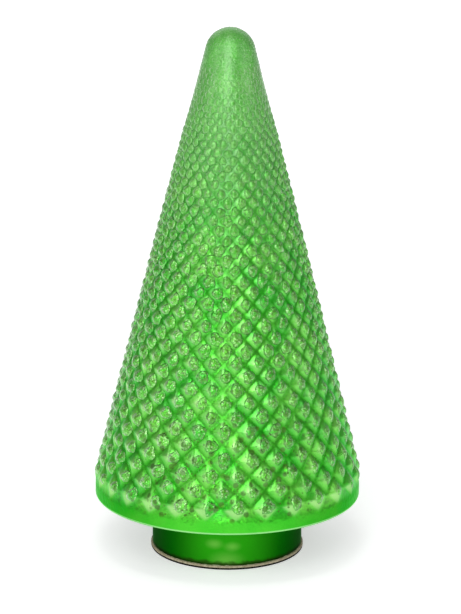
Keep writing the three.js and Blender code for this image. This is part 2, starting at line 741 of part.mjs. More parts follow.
// The wire winds clockwise up the post, held off it by the beads that are threaded on it.
const coilRadius = POST_RADIUS + FIT_GAP + BEAD_RADIUS;
const coilFoot = socketTop + COIL_FOOT;
const coilPitch = (postTop - COIL_HEADROOM - coilFoot) / COIL_TURNS;

function coilPoint(turns) {
  const angle = Math.PI - turns * 2 * Math.PI;
  const z = coilFoot + turns * coilPitch;
  return new THREE.Vector3(coilRadius * Math.cos(angle), coilRadius * Math.sin(angle), z);
}

function coilDirection(turns) {
  const angle = Math.PI - turns * 2 * Math.PI;
  const around = 2 * Math.PI * coilRadius;
  const rise = coilPitch;
  return new THREE.Vector3(around * Math.sin(angle), -around * Math.cos(angle), rise).normalize();
}

function buildWire() {
  const start = new THREE.Vector3(WIRE_X, boardMiddle, boardTop + FIT_GAP);
  const exit = new THREE.Vector3(WIRE_X, boardMiddle, coverTop);
  const leaving = exit.clone().add(new THREE.Vector3(0, 0, WIRE_BEND));
  const arriving = coilPoint(0).sub(coilDirection(0).multiplyScalar(WIRE_BEND));
  const riser = new THREE.CubicBezierCurve3(exit, leaving, arriving, coilPoint(0));
  const points = [start, start.clone().lerp(exit, 0.5), ...riser.getPoints(RISER_STEPS)];
  const coilSteps = COIL_TURNS * COIL_STEPS;
  for (let i = 1; i <= coilSteps; i++) points.push(coilPoint(i / COIL_STEPS));
  const curve = new THREE.CatmullRomCurve3(points);
  add("led_wire", tube(curve, WIRE_RADIUS, WIRE_SIDES, coilSteps + 2 * COIL_STEPS), "copper");
}

function buildBeads() {
  const bore = WIRE_RADIUS + BEAD_BORE_ROOM;
  const end = Math.acos(bore / BEAD_RADIUS);
  const outside = Array.from({ length: BEAD_STEPS + 1 }, (_, i) => {
    const angle = THREE.MathUtils.lerp(-end, end, i / BEAD_STEPS);
    return [BEAD_RADIUS * Math.cos(angle), (BEAD_LENGTH / 2) * Math.sin(angle)];
  });
  const bead = turned([...outside, outside[0]], BEAD_SIDES);
  const up = new THREE.Vector3(0, 0, 1);
  for (let i = 0; i < BEAD_COUNT; i++) {
    const turns = ((i + 0.5) * COIL_TURNS) / BEAD_COUNT;
    const turn = new THREE.Quaternion().setFromUnitVectors(up, coilDirection(turns));
    const mesh = add("led_bead_" + String(i + 1).padStart(2, "0"), bead, "bead");
    mesh.quaternion.copy(turn);
    mesh.position.copy(coilPoint(turns));
  }
}

buildGlass();
buildFootRings();
buildTray();
buildCover();
buildScrews();
buildDoor();
buildCells();
buildContacts();
buildLead("lead_minus", "leadBlack", minusTab, -LEAD_X);
buildLead("lead_plus", "leadRed", plusTab, LEAD_X);
buildBoard();
buildSwitch();
buildPost();
buildWire();
buildBeads();

export default tree;
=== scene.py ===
"""The looks of a cone tree of pressed green glass: its fine nubbed surface, the clear glitter on it,
the cork and foam under its neck, and the finish of the battery base and the lamps inside.
Metres, +Z up, the table at z = 0, the front towards -Y."""

import math

import bpy
import numpy as np
from mathutils import Matrix, Vector


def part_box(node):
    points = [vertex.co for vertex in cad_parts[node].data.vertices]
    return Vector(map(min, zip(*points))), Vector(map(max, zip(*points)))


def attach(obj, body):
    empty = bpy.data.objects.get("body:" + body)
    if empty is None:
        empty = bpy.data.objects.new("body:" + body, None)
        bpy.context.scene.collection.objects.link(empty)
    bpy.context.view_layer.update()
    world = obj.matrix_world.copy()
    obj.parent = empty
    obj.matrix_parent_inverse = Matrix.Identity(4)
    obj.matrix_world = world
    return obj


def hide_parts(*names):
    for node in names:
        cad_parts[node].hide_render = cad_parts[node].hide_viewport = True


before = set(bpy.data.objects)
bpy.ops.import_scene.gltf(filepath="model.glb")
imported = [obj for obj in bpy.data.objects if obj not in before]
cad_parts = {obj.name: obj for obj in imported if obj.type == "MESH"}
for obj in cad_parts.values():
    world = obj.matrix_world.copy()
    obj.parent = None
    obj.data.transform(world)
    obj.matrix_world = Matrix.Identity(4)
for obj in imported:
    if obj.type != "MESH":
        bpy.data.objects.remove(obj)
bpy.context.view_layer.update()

MM = 0.001
RNG = np.random.default_rng(11)
PHASE = 6.28  # the range of random phases

# The glass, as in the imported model, whose box gives its height and foot
TREE_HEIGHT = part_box("glass_shell")[1].z
FOOT_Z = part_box("glass_shell")[0].z
TIP_DOME_RADIUS = 16 * MM
RIM_RADIUS = 86.3 * MM
RIM_HEIGHT = 37.9 * MM
RIM_ROUND = 1.3 * MM
BAND_HEIGHT = 6.1 * MM
NECK_RADIUS = 49 * MM
NECK_FILLET = 3 * MM
FOOT_BEVEL = 0.6 * MM
GLASS_WALL = 2.7 * MM
NUB_COLUMNS = 28
NUB_TURN = math.radians(3.7)
NUB_RELIEF = 3.9 * MM
NUB_ROW_PITCH = 9.9 * MM
NUB_TOP_PITCH = 3.2 * MM
NUB_FADE_LENGTH = 60 * MM
NUB_FADE_DROP = 21 * MM
# Below this the glass gets painted shade, and above it a painted highlight
PLAIN_RISE = 0.3  # nub height, from 0 to 1, whose glass has the plain colour
NUB_STEPS = 6  # mesh cells from a nub's tip to its edge, across and up
GROOVE_ROUND = 1.3 * MM
RIDGE_ROUND = 1.1 * MM
TIP_ROUND = 0.22  # share of a nub's height
# Painted highlight at the foot of the lowest nubs
LOW_NUB_HIGHLIGHT = (2.5, 0.45)  # how fast and how far the glass gets paler at the foot of the lowest nubs

# The patch of glitter on each nub's tip
PATCH_LOW = 0.37  # its radius on the lowest nubs, as a share of a nub's half width
PATCH_HIGH = 0.82  # and on the highest
PATCH_OFFSET = 0.2  # how far it lies to the right of the tip, also as such a share
PATCH_LEFT_OFFSET = 0.3  # added to that on the left side
PATCH_STRETCH = 1.2  # height over width
PATCH_SIDES = 14
DROP_RISE = 0.12  # height of the clear drop on it low down, as a share of its radius
DROP_RISE_HIGH = 0.34  # and high up
PATCH_SCATTER = 0.05  # how far it strays, as a share of a nub's half width
GRAINS_PER_MM2 = 0.14
EDGE_SPACING = 1.5 * MM
GRAIN_SIZE = 0.28 * MM
LOOSE_GRAINS = 1500
FROST_GRAINS = 15000
FROST_SIZE = 0.42 * MM
FROST_START = 200 * MM
FROST_FULL_RADIUS = 45 * MM  # the grains are thinned where the cone is narrower
DOME_FROST = 0.4  # share of them on the dome
DROP_RINGS = ((0.35, 0.96), (0.7, 0.78), (0.92, 0.44), (1.0, -0.12))  # shares of its radius and height
DROP_SINK = 0.3  # depth of its underside, as a share of its height
DROP_FULL_RELIEF = 1.2 * MM  # nubs lower than that have flatter drops
# Painted highlight on the drops' outward edges
ARC_HIGHLIGHT_RINGS = (0, 0.4, 1, 1)  # how pale each ring is on the outward side
THIN_START = 280 * MM  # the glass has half as many rings above

# Rings under the neck
CORK_OUTER = NECK_RADIUS + 1 * MM
CORK_INNER = CORK_OUTER - 8 * MM
FOAM_TOP = 0.9 * MM
FOAM_SETBACK = 0.1 * MM
RING_CORNER = 0.25 * MM
INNER_WOBBLE = -0.6  # share of the outer edge's
SEAM_RADIUS = NECK_RADIUS - 0.25 * MM
SEAM_Z = FOOT_Z + 0.2 * MM
SEAM_HALF = (0.6 * MM, 0.5 * MM)  # half its width and height where it is thickest
SEAM_SIDES = 300
SEAM_RINGS = 8

# The base as seen from below
DOOR_Y = 3.5 * MM
SWITCH_Y = -34.77 * MM
MARK_RISE = 0.25 * MM
MARK_SINK = 0.1 * MM
MARK_STEP = 0.01 * MM  # keeps strokes that cross from lying in one plane
DOOR_FACE = 2.3 * MM
LETTER_SIZE = 1.8 * MM
LETTER_WIDTH = 0.62  # share of its height
LETTER_STEP = 1.75 * MM
LINE_WIDTH = 0.32 * MM
MARK_TEXTS = (("OFF", -10.2 * MM, SWITCH_Y), ("ON", -1.6 * MM, SWITCH_Y - 3.6 * MM))
CLOCK_X = 7.2 * MM
CLOCK_RADIUS = 1.4 * MM
CLOCK_HANDS = ((0, -0.85 * MM), (0.6 * MM, 0))
HAND_WIDTH = 0.26 * MM
ARROW_RADIUS = 23 * MM
ARROW_WIDTH = 0.7 * MM
ARROW_HEAD = 1.5 * MM
ARROW_TURNS = (-26, 14, 22)  # degrees of its tail, its head's base and its tip about its middle

# Light. A softbox has a name, azimuth, elevation, distance, (width, height) and radiance
WORLD_LIGHT = 0.37
SOFTBOXES = (
    ("key_softbox", -9, 28, 2.2, (1.3, 1.9), 2.95),
    ("top_softbox", -14, 72, 1.8, (0.4, 0.4), 6.0),
    ("left_softbox", -60, 24, 2.4, (0.9, 1.6), 1.35),
    ("right_softbox", 64, 24, 2.4, (0.9, 1.6), 1.15),
    ("back_softbox", 180, 32, 2.6, (3.2, 1.6), 0.55),
)
FLOOR_REACH = 6
FLOOR_COLOR = (0.925, 0.945, 0.935)
FLOOR_GLOW = (0.45, 0.66)  # near the tree and far from it, added where the floor is seen
FLOOR_GLOW_AWAY = (0.35, 1.6)

# Colours of the glass
DEEP_GREEN = (0.018, 0.48, 0.004)
BRIGHT_GREEN = (0.150, 0.64, 0.048)
FROST_GREEN = (0.088, 0.455, 0.04)
PALE_FROST = (0.19, 0.57, 0.12)
FROST_BLOTCH = (0.04, 0.34, 0.02)
# Painted highlight on the ridges and painted shade in the grooves
RIDGE_HIGHLIGHT_GREEN = (0.50, 0.81, 0.31)
GROOVE_SHADE_GREEN = (0.007, 0.24, 0.003)
# Painted shade at the band's sides and painted light on its front
BAND_SIDE_SHADE_GREEN = (0.008, 0.30, 0.003)
BAND_FRONT_LIT_GREEN = (0.055, 0.59, 0.025)
SILVER_GAP = (0.055, 0.19, 0.012)
# Painted highlight along the rim's round edge and painted shade under it
RIM_HIGHLIGHT_LINE = (0.40, 0.80, 0.34)
UNDER_RIM_SHADE_GREEN = (0.004, 0.09, 0.004)
NECK_DARK = (0.0015, 0.095, 0.0015)
# Painted light on the neck's front and painted shade under the rim
NECK_FRONT_LIT = (0.022, 0.34, 0.006)
NECK_SHADE = (0.002, 0.07, 0.002)
NECK_GLINT = (0.25, 0.62, 0.10)
NECK_GLUE = (0.02, 0.05, 0.006)
# Painted glints on the neck
NECK_GLINTS = (  # place along X, height and radius
    (-8 * MM, 17 * MM, 4.6 * MM),
    (3.5 * MM, 15.4 * MM, 4.4 * MM),
    (0, 5.5 * MM, 9 * MM),
)
OLIVE = (0.075, 0.235, 0.012)
DARK_FLAKE = (0.045, 0.20, 0.010)
PALE_FLAKE = (0.52, 0.86, 0.38)
# Painted highlight on the drops' outward edges
PAINTED_ARC_HIGHLIGHT = (0.74, 0.97, 0.66)

# Camera, found from the rim, the foot and the nub rows in the photograph
IMAGE_HEIGHT = 614
FOCAL_PIXELS = 2662.5
SENSOR = 36.0
CAMERA_DISTANCE = 5 * TREE_HEIGHT
CAMERA_PITCH = math.radians(15.22)
CAMERA_ROLL = math.radians(0.41)
CAMERA_AIM = Vector((0.0036 * TREE_HEIGHT, 0, 0.4704 * TREE_HEIGHT))

NUB_START = RIM_HEIGHT + BAND_HEIGHT
DOME_Z = TREE_HEIGHT - TIP_DOME_RADIUS
CONE_LEAN = math.acos(TIP_DOME_RADIUS / math.hypot(RIM_RADIUS, DOME_Z - NUB_START)) - math.atan2(
    DOME_Z - NUB_START, RIM_RADIUS
)
DOME_START = DOME_Z + TIP_DOME_RADIUS * math.sin(CONE_LEAN)
NUB_FADE_END = TREE_HEIGHT - NUB_FADE_DROP
SHOULDER_Z = RIM_HEIGHT - RIM_ROUND


# Scene


def add_object(name, data):
    thing = bpy.data.objects.new(name, data)
    bpy.context.scene.collection.objects.link(thing)
    return thing


def place_camera():
    right = Vector((1, 0, 0))
    forward = Vector((0, math.cos(CAMERA_PITCH), -math.sin(CAMERA_PITCH)))
    up = right.cross(forward)
    rolled_right = right * math.cos(CAMERA_ROLL) + up * math.sin(CAMERA_ROLL)
    rolled_up = up * math.cos(CAMERA_ROLL) - right * math.sin(CAMERA_ROLL)
    data = bpy.data.cameras.new("photo_camera")
    data.sensor_width = SENSOR
    data.lens = FOCAL_PIXELS / IMAGE_HEIGHT * SENSOR
    data.clip_end = 50
    camera = add_object("photo_camera", data)
    turn = Matrix((rolled_right, rolled_up, -forward)).transposed()
    camera.matrix_world = Matrix.Translation(CAMERA_AIM - forward * CAMERA_DISTANCE) @ turn.to_4x4()
    bpy.context.scene.camera = camera


def add_softbox(name, azimuth, elevation, distance, size, radiance):
    """A lamp whose face shines with that radiance, where 1 is white. Azimuth 0 is the front."""
    aim = Vector((0, 0, TREE_HEIGHT / 2))
    across, rise = math.radians(azimuth), math.radians(elevation)
    way = Vector((math.sin(across) * math.cos(rise), -math.cos(across) * math.cos(rise), math.sin(rise)))
    data = bpy.data.lights.new(name, "AREA")
    data.shape = "RECTANGLE"
    data.size, data.size_y = size
    data.energy = radiance * math.pi * size[0] * size[1]
    lamp = add_object(name, data)
    lamp.location = aim + way * distance
    lamp.rotation_euler = (-way).to_track_quat("-Z", "Y").to_euler()


def light_scene():
    scene = bpy.context.scene
    scene.view_settings.view_transform = "Standard"
    world = bpy.data.worlds.new("studio")
    scene.world = world
    world.use_nodes = True
    tree = world.node_tree
    background = tree.nodes["Background"]
    background.inputs["Color"].default_value = (1, 1, 1, 1)
    path = tree.nodes.new("ShaderNodeLightPath")
    seen = tree.nodes.new("ShaderNodeMath")
    seen.operation = "MAXIMUM"
    for ray, side in zip(("Is Camera Ray", "Is Transmission Ray"), seen.inputs):
        tree.links.new(path.outputs[ray], side)
    level = tree.nodes.new("ShaderNodeMapRange")
    tree.links.new(seen.outputs[0], level.inputs["Value"])
    level.inputs["To Min"].default_value = WORLD_LIGHT
    level.inputs["To Max"].default_value = 1.0
    tree.links.new(level.outputs[0], background.inputs["Strength"])
    for softbox in SOFTBOXES:
        add_softbox(*softbox)


def build_floor():
    mesh = bpy.data.meshes.new("floor")
    corners = [(x * FLOOR_REACH, y * FLOOR_REACH, 0) for x, y in ((-1, -1), (1, -1), (1, 1), (-1, 1))]
    mesh.from_pydata(corners, [], [(0, 1, 2, 3)])
    floor = add_object("floor", mesh)
    s = Shader("studio_floor")
    s.set(base_color=FLOOR_COLOR, roughness=0.8, specular=0.2)
    glow = s.node("ShaderNodeEmission")
    path = s.node("ShaderNodeLightPath")
    seen = s.math("MAXIMUM", path.outputs["Is Camera Ray"], path.outputs["Is Glossy Ray"])
    seen = s.math("MAXIMUM", seen, path.outputs["Is Transmission Ray"])
    away = s.length(s.axis("X"), s.axis("Y"))
    s.link(s.product(seen, s.ramp(away, *FLOOR_GLOW_AWAY, *FLOOR_GLOW)), glow.inputs["Strength"])
    both = s.node("ShaderNodeAddShader")
    s.link(s.principled.outputs[0], both.inputs[0])
    s.link(glow.outputs[0], both.inputs[1])
    s.link(both.outputs[0], s.tree.nodes["Material Output"].inputs["Surface"])
    mesh.materials.append(s.material)


# Materials


class Shader:
    """One material under construction, with short calls for its nodes."""

    SOCKETS = {  # where they aren't called what set() calls them
        "specular": "Specular IOR Level",
        "tint": "Specular Tint",
        "coat": "Coat Weight",
        "coat_ior": "Coat IOR",
        "transmission": "Transmission Weight",
        "ior": "IOR",
    }

    def __init__(self, name):
        self.material = bpy.data.materials.new(name)
        self.material.use_nodes = True
        self.tree = self.material.node_tree
        self.principled = self.tree.nodes["Principled BSDF"]
        self.place = self.node("ShaderNodeTexCoord").outputs["Object"]

    def node(self, kind, **inputs):
        node = self.tree.nodes.new(kind)
        for name, value in inputs.items():
            self.put(node.inputs[name], value)
        return node

    def link(self, source, target):
        self.tree.links.new(source, target)

    def put(self, target, value):
        if isinstance(value, bpy.types.NodeSocket):
            self.link(value, target)
        elif isinstance(value, tuple) and len(value) == 3 and target.type == "RGBA":
            target.default_value = (*value, 1)
        else:
            target.default_value = value

    def set(self, **values):
        for name, value in values.items():
            socket = self.SOCKETS.get(name, name.replace("_", " ").title())
            self.put(self.principled.inputs[socket], value)

    def math(self, operation, a, b=0.0):
        node = self.node("ShaderNodeMath")
        node.operation = operation
        self.put(node.inputs[0], a)
        self.put(node.inputs[1], b)
        return node.outputs[0]

    def product(self, *values):
        result = values[0]
        for value in values[1:]:
            result = self.math("MULTIPLY", result, value)
        return result

    def length(self, a, b):
        return self.math("SQRT", self.math("ADD", self.product(a, a), self.product(b, b)))

    def mix(self, factor, a, b):
        """A colour between two. The node's inputs 6 and 7 are its colours."""
        node = self.node("ShaderNodeMix")
        node.data_type = "RGBA"
        self.put(node.inputs[0], factor)
        self.put(node.inputs[6], a)
        self.put(node.inputs[7], b)
        return node.outputs[2]

    def blend(self, factor, a, b):
        """A number between two, which are the node's inputs 2 and 3."""
        node = self.node("ShaderNodeMix")
        self.put(node.inputs[0], factor)
        self.put(node.inputs[2], a)
        self.put(node.inputs[3], b)
        return node.outputs[0]

    def ramp(self, value, low, high, to_low=0.0, to_high=1.0):
        """A smooth step from to_low, where the value is low, to to_high, where it is high."""
        node = self.node("ShaderNodeMapRange")
        node.interpolation_type = "SMOOTHSTEP"
        for socket, number in zip(node.inputs, (value, low, high, to_low, to_high)):
            self.put(socket, number)
        return node.outputs[0]

    def fall(self, value, low, high):
        return self.ramp(value, low, high, 1.0, 0.0)

    def noise(self, scale, detail, roughness=0.5):
        look = {"Scale": scale, "Detail": detail, "Roughness": roughness}
        return self.node("ShaderNodeTexNoise", Vector=self.place, **look).outputs["Fac"]

    def cells(self, scale, output="Distance"):
        return self.node("ShaderNodeTexVoronoi", Vector=self.place, Scale=scale).outputs[output]

    def axis(self, name):
        return self.node("ShaderNodeSeparateXYZ", Vector=self.place).outputs[name]

    def front(self, middle, side, back, near):
        """1 in the middle of the tree's front. It falls off at the sides, between two distances from
        the middle, and towards the back, between two places along Y, all in millimetres."""
        across = self.fall(self.math("ABSOLUTE", self.axis("X")), middle * MM, side * MM)
        return self.product(across, self.ramp(self.axis("Y"), back * MM, near * MM))

    def attribute(self, name):
        node = self.node("ShaderNodeAttribute")
        node.attribute_name = name
        return node.outputs["Fac"]

    def bump(self, height, distance, strength, below=None):
        node = self.node("ShaderNodeBump", Height=height, Distance=distance, Strength=strength)
        if below is not None:
            self.link(below, node.inputs["Normal"])
        return node.outputs["Normal"]


def silver_gaps(s):
    """Round gaps in the silvering, mostly low on the front, as a share from 0 to 0.85."""
    z = s.axis("Z")
    where = s.product(s.front(35, 65, -40, -55), s.fall(z, 85 * MM, 125 * MM))
    share = s.ramp(s.math("MAXIMUM", where, 0.12), 0.1, 0.6, 0.0, 0.85)
    big = s.product(s.fall(s.cells(150), 0.22, 0.34), s.ramp(s.cells(150, "Color"), 0.30, 0.34))
    small = s.product(s.fall(s.cells(420), 0.24, 0.36), s.ramp(s.cells(420, "Color"), 0.64, 0.68))
    above_band = s.ramp(z, NUB_START - 0.5 * MM, NUB_START + 2.5 * MM)
    return s.product(s.math("MAXIMUM", big, small), share, above_band)


def glass_color(s):
    """The frosting's share, which grows towards the tip, and the colour of the silvered green glass."""
    frost = s.ramp(s.math("ADD", s.axis("Z"), s.product(s.noise(18, 3), 50 * MM)), 200 * MM, 330 * MM)
    green = s.mix(s.ramp(s.noise(55, 4), 0.3, 0.7), DEEP_GREEN, BRIGHT_GREEN)
    pale = s.mix(s.ramp(s.noise(900, 2), 0.35, 0.7), FROST_GREEN, PALE_FROST)
    pale = s.mix(s.ramp(s.noise(95, 3), 0.35, 0.65), pale, s.mix(0.35, pale, FROST_BLOTCH))
    return frost, s.mix(frost, green, pale)


def glass_material():
    """Green glass, silvered inside and frosted towards the tip, with painted shade in the grooves, at the
    band's sides and under the rim, and painted highlights on the ridges, the band's front and the rim's
    edge.
    """
    s = Shader("green_glass")
    z = s.axis("Z")
    frost, color = glass_color(s)

    # Painted shade darkens the deep grooves, and a painted highlight makes the ridges paler
    rise = s.attribute("rise")
    ridge = s.product(s.ramp(rise, PLAIN_RISE, 0.8, 0.0, 0.9), s.ramp(z, 50 * MM, 130 * MM, 0.6, 1.0))
    color = s.mix(ridge, color, RIDGE_HIGHLIGHT_GREEN)
    color = s.mix(s.ramp(rise, 0.0, PLAIN_RISE, 0.62, 0.0), color, GROOVE_SHADE_GREEN)

    # The smooth band over the rim, with painted light: lit brighter at the front, with painted shade
    # darker away from it
    band = s.fall(z, NUB_START, NUB_START + 7 * MM)
    band_lit_and_shaded = s.mix(s.front(20, 75, -20, -50), BAND_SIDE_SHADE_GREEN, BAND_FRONT_LIT_GREEN)
    color = s.mix(s.product(band, 0.8), color, band_lit_and_shaded)
    color = s.mix(silver_gaps(s), color, SILVER_GAP)

    # The round edge of the rim has a painted highlight line over a painted shade line
    above = s.ramp(z, SHOULDER_Z + 0.3 * MM, SHOULDER_Z + 0.6 * MM)
    below = s.fall(z, SHOULDER_Z + 1.1 * MM, SHOULDER_Z + 1.8 * MM)
    color = s.mix(s.product(above, below, 0.8), color, RIM_HIGHLIGHT_LINE)
    color = s.mix(s.fall(z, SHOULDER_Z + 0.1 * MM, SHOULDER_Z + 0.4 * MM), color, UNDER_RIM_SHADE_GREEN)
    rough = s.blend(frost, s.ramp(s.noise(18, 3), 0.3, 0.7, 0.27, 0.34), 0.48)
    s.set(base_color=color, roughness=rough, metallic=s.blend(frost, 0.85, 0.45))

    # The silvered inside is uneven, and the outside only faintly so
    grain = s.product(s.noise(900, 2), frost)
    inside = s.bump(s.product(s.noise(75, 1), frost), 6 * MM, 0.6)
    inside = s.bump(s.noise(230, 2), 1.1 * MM, 0.7, below=inside)
    inside = s.bump(grain, 0.5 * MM, 0.9, below=inside)
    outside = s.bump(grain, 0.4 * MM, 0.8, below=s.bump(s.noise(60, 2), 0.3 * MM, 0.25))
    s.set(normal=inside, coat_normal=outside, tint=(0.25, 1.0, 0.2, 1.0))

    # The gloss of the clear glass is weaker in the grooves, on the band and low down
    gloss = s.product(s.ramp(rise, 0.0, PLAIN_RISE, 0.2, 0.9), s.blend(band, 1.0, 0.12))
    gloss = s.product(gloss, s.ramp(z, 50 * MM, 140 * MM, 0.65, 1.0))
    s.set(coat=s.blend(frost, gloss, 1.0), coat_roughness=0.2, coat_ior=1.7)
    return s.material


def neck_material():
    """The darker glass of the neck, with painted light: lit palest in front, painted shade towards the
    top under the rim and painted glints, and cloudy glue behind its foot.
    """
    s = Shader("neck_glass")
    x, y, z = (s.axis(name) for name in "XYZ")
    cloudy = s.noise(40, 3)
    # Painted light: the front is lit palest, with painted shade towards the top under the rim
    green = s.mix(s.front(8, 42, -10, -30), NECK_DARK, NECK_FRONT_LIT)
    green = s.mix(s.ramp(z, 18 * MM, 34 * MM, 0.0, 0.65), green, NECK_SHADE)
    # Painted glints
    for across, up, size in NECK_GLINTS:
        aside = s.product(s.math("SUBTRACT", x, across), 0.6)
        away = s.length(aside, s.math("SUBTRACT", z, up))
        glint = s.product(s.ramp(away, 0, size, 0.42, 0.0), s.ramp(y, -10 * MM, -30 * MM))
        green = s.mix(glint, green, NECK_GLINT)
    edge = s.math("ADD", z, s.product(s.noise(160, 3), 6 * MM))
    color = s.mix(s.product(s.fall(edge, 6.6 * MM, 9 * MM), 0.8), green, NECK_GLUE)
    s.set(base_color=color, metallic=0.9, roughness=s.ramp(cloudy, 0.3, 0.7, 0.30, 0.42))
    s.set(normal=s.bump(cloudy, 0.6 * MM, 0.5), specular=0.2, tint=(0.05, 0.4, 0.05, 1.0))
    return s.material


def drop_material():
    """Clear drops with glitter in them, which show the green under them between pale and olive flakes,
    with a painted highlight on their outward edges.
    """
    s = Shader("glitter_drop")
    frost, color = glass_color(s)
    flake = s.cells(1150, "Color")
    crinkle = s.noise(700, 2)
    broken = s.noise(420, 2)
    plain = s.blend(frost, 1.0, 0.25)
    color = s.mix(s.product(s.ramp(broken, 0.46, 0.58), plain, 0.75), color, OLIVE)
    color = s.mix(s.product(s.fall(flake, 0.30, 0.36), plain, 0.4), color, DARK_FLAKE)
    color = s.mix(s.product(s.ramp(flake, 0.74, 0.80), plain, 0.5), color, PALE_FLAKE)
    # Painted highlight along the outward edges
    edge = s.product(s.attribute("arc"), s.ramp(broken, 0.34, 0.46), s.blend(frost, 0.95, 0.8))
    color = s.mix(silver_gaps(s), s.mix(edge, color, PAINTED_ARC_HIGHLIGHT), SILVER_GAP)
    inside = s.bump(crinkle, 1 * MM, s.blend(frost, 0.8, 0.3))
    outside = s.bump(crinkle, 0.2 * MM, 0.5)
    s.set(base_color=color, metallic=s.blend(frost, 0.80, 0.45), roughness=s.blend(frost, 0.28, 0.40))
    s.set(normal=inside, coat_normal=outside, coat=0.7, coat_roughness=0.1, coat_ior=1.5)
    return s.material


def glitter_material():
    """Clear grains, of which some sparkle white and the others show the green under them. The pale ones
    also stand in for a painted highlight on the patches' outward edges and a painted sheen at the frost's
    sides.
    """
    s = Shader("clear_glitter")
    tone_and_highlight = s.attribute("tone_and_highlight")
    color = s.mix(s.ramp(tone_and_highlight, 0.45, 0.9), (0.05, 0.34, 0.02), (0.78, 0.94, 0.70))
    s.set(base_color=color, roughness=0.14, specular=0.8, metallic=0.3)
    s.set(coat=1.0, coat_roughness=0.05)
    return s.material


def cork_material():
    s = Shader("sheet_cork")
    tan = s.mix(s.cells(900, "Color"), (0.44, 0.36, 0.22), (0.78, 0.68, 0.50))
    dark = s.ramp(s.noise(700, 4, 0.7), 0.58, 0.68)
    color = s.mix(dark, tan, (0.20, 0.13, 0.07))
    # Painted shade: the lower edge is darkened near black over the foam
    foot = s.fall(s.axis("Z"), FOAM_TOP + 0.2 * MM, FOAM_TOP + 0.6 * MM)
    s.set(base_color=s.mix(foot, color, (0.02, 0.016, 0.012)), roughness=0.92, specular=0.25)
    s.set(normal=s.bump(s.cells(900), 0.3 * MM, 0.7))
    return s.material


def foam_material():
    s = Shader("black_foam")
    pores = s.cells(2200)
    color = s.mix(s.ramp(pores, 0.1, 0.5), (0.002, 0.002, 0.002), (0.012, 0.011, 0.010))
    s.set(base_color=color, roughness=0.95, specular=0.15)
    s.set(normal=s.bump(pores, 0.2 * MM, 0.8))
    return s.material


def glue_material():
    s = Shader("clear_glue")
    milky = s.noise(260, 3)
    color = s.mix(s.ramp(milky, 0.35, 0.65), (0.10, 0.14, 0.03), (0.42, 0.46, 0.26))
    s.set(base_color=color, roughness=s.ramp(milky, 0.3, 0.7, 0.15, 0.35), specular=0.6)
    s.set(normal=s.bump(milky, 0.4 * MM, 0.6))
    return s.material


def moulded_material(name, dark, light, roughness, **more):
    """Moulded plastic with a fine spark-eroded grain and faint clouds in its gloss."""
    s = Shader(name)
    grain = s.noise(2600, 2)
    clouds = s.noise(45, 3)
    s.set(base_color=s.mix(s.blend(0.5, grain, clouds), dark, light))
    s.set(roughness=s.ramp(clouds, 0.2, 0.8, roughness - 0.06, roughness + 0.08))
    s.set(normal=s.bump(grain, 0.06 * MM, 0.5), **more)
    return s.material


def metal_material(name, color, roughness):
    """Plated or drawn metal with fine scratches and slight tarnish."""
    s = Shader(name)
    scratches = s.noise(1800, 4, 0.7)
    tarnish = s.noise(120, 4)
    dull = tuple(part * 0.72 for part in color)
    s.set(base_color=s.mix(s.ramp(tarnish, 0.45, 0.75), color, dull), metallic=1.0)
    s.set(roughness=s.ramp(scratches, 0.3, 0.7, roughness - 0.08, roughness + 0.12))
    s.set(normal=s.bump(scratches, 0.03 * MM, 0.4))
    return s.material


def cell_material(low, high, turned):
    """A cell's film, with a copper-coloured shoulder at its plus end and bare steel at both ends.
    low and high are the cell's ends along X, and the plus end is the high one unless it is turned."""
    s = Shader("cell_wrap")
    x = s.axis("X")
    along = s.math("SUBTRACT", high, x) if turned else s.math("SUBTRACT", x, low)
    length = high - low
    scuffs = s.noise(600, 4, 0.7)
    film = s.mix(s.ramp(scuffs, 0.5, 0.7), (0.035, 0.06, 0.085), (0.09, 0.12, 0.15))
    band = s.ramp(along, length - 11.5 * MM, length - 11.2 * MM)
    film = s.mix(band, film, (0.50, 0.25, 0.10))
    bare_end = s.fall(along, length - 1.8 * MM, length - 1.5 * MM)
    wrapped = s.product(s.ramp(along, 0.6 * MM, 0.9 * MM), bare_end)
    s.set(base_color=s.mix(wrapped, (0.62, 0.61, 0.58), film))
    s.set(metallic=s.blend(wrapped, 1.0, s.product(band, 0.7)))
    s.set(roughness=s.ramp(scuffs, 0.3, 0.7, 0.24, 0.42))
    s.set(normal=s.bump(scuffs, 0.04 * MM, 0.4))
    return s.material


def board_material():
    """Green mask over copper tracks that run across and up, with bare pads."""
    s = Shader("board_mask")
    x, z = s.axis("X"), s.axis("Z")
    weave = s.noise(1500, 2)
    lanes = s.math("PINGPONG", s.math("ADD", z, s.product(s.noise(90, 0), 4 * MM)), 1.2 * MM)
    risers = s.math("PINGPONG", x, 2.2 * MM)
    across, up = s.ramp(lanes, 0.8 * MM, 0.9 * MM), s.ramp(risers, 1.8 * MM, 1.9 * MM)
    tracks = s.math("MAXIMUM", across, up)
    color = s.mix(tracks, (0.012, 0.13, 0.035), (0.05, 0.30, 0.08))
    pads = s.product(s.fall(s.cells(260), 0.16, 0.2), s.ramp(s.cells(260, "Color"), 0.7, 0.72))
    s.set(base_color=s.mix(pads, color, (0.75, 0.72, 0.66)), metallic=pads)
    s.set(roughness=s.ramp(weave, 0.3, 0.7, 0.28, 0.4), normal=s.bump(weave, 0.05 * MM, 0.4))
    return s.material


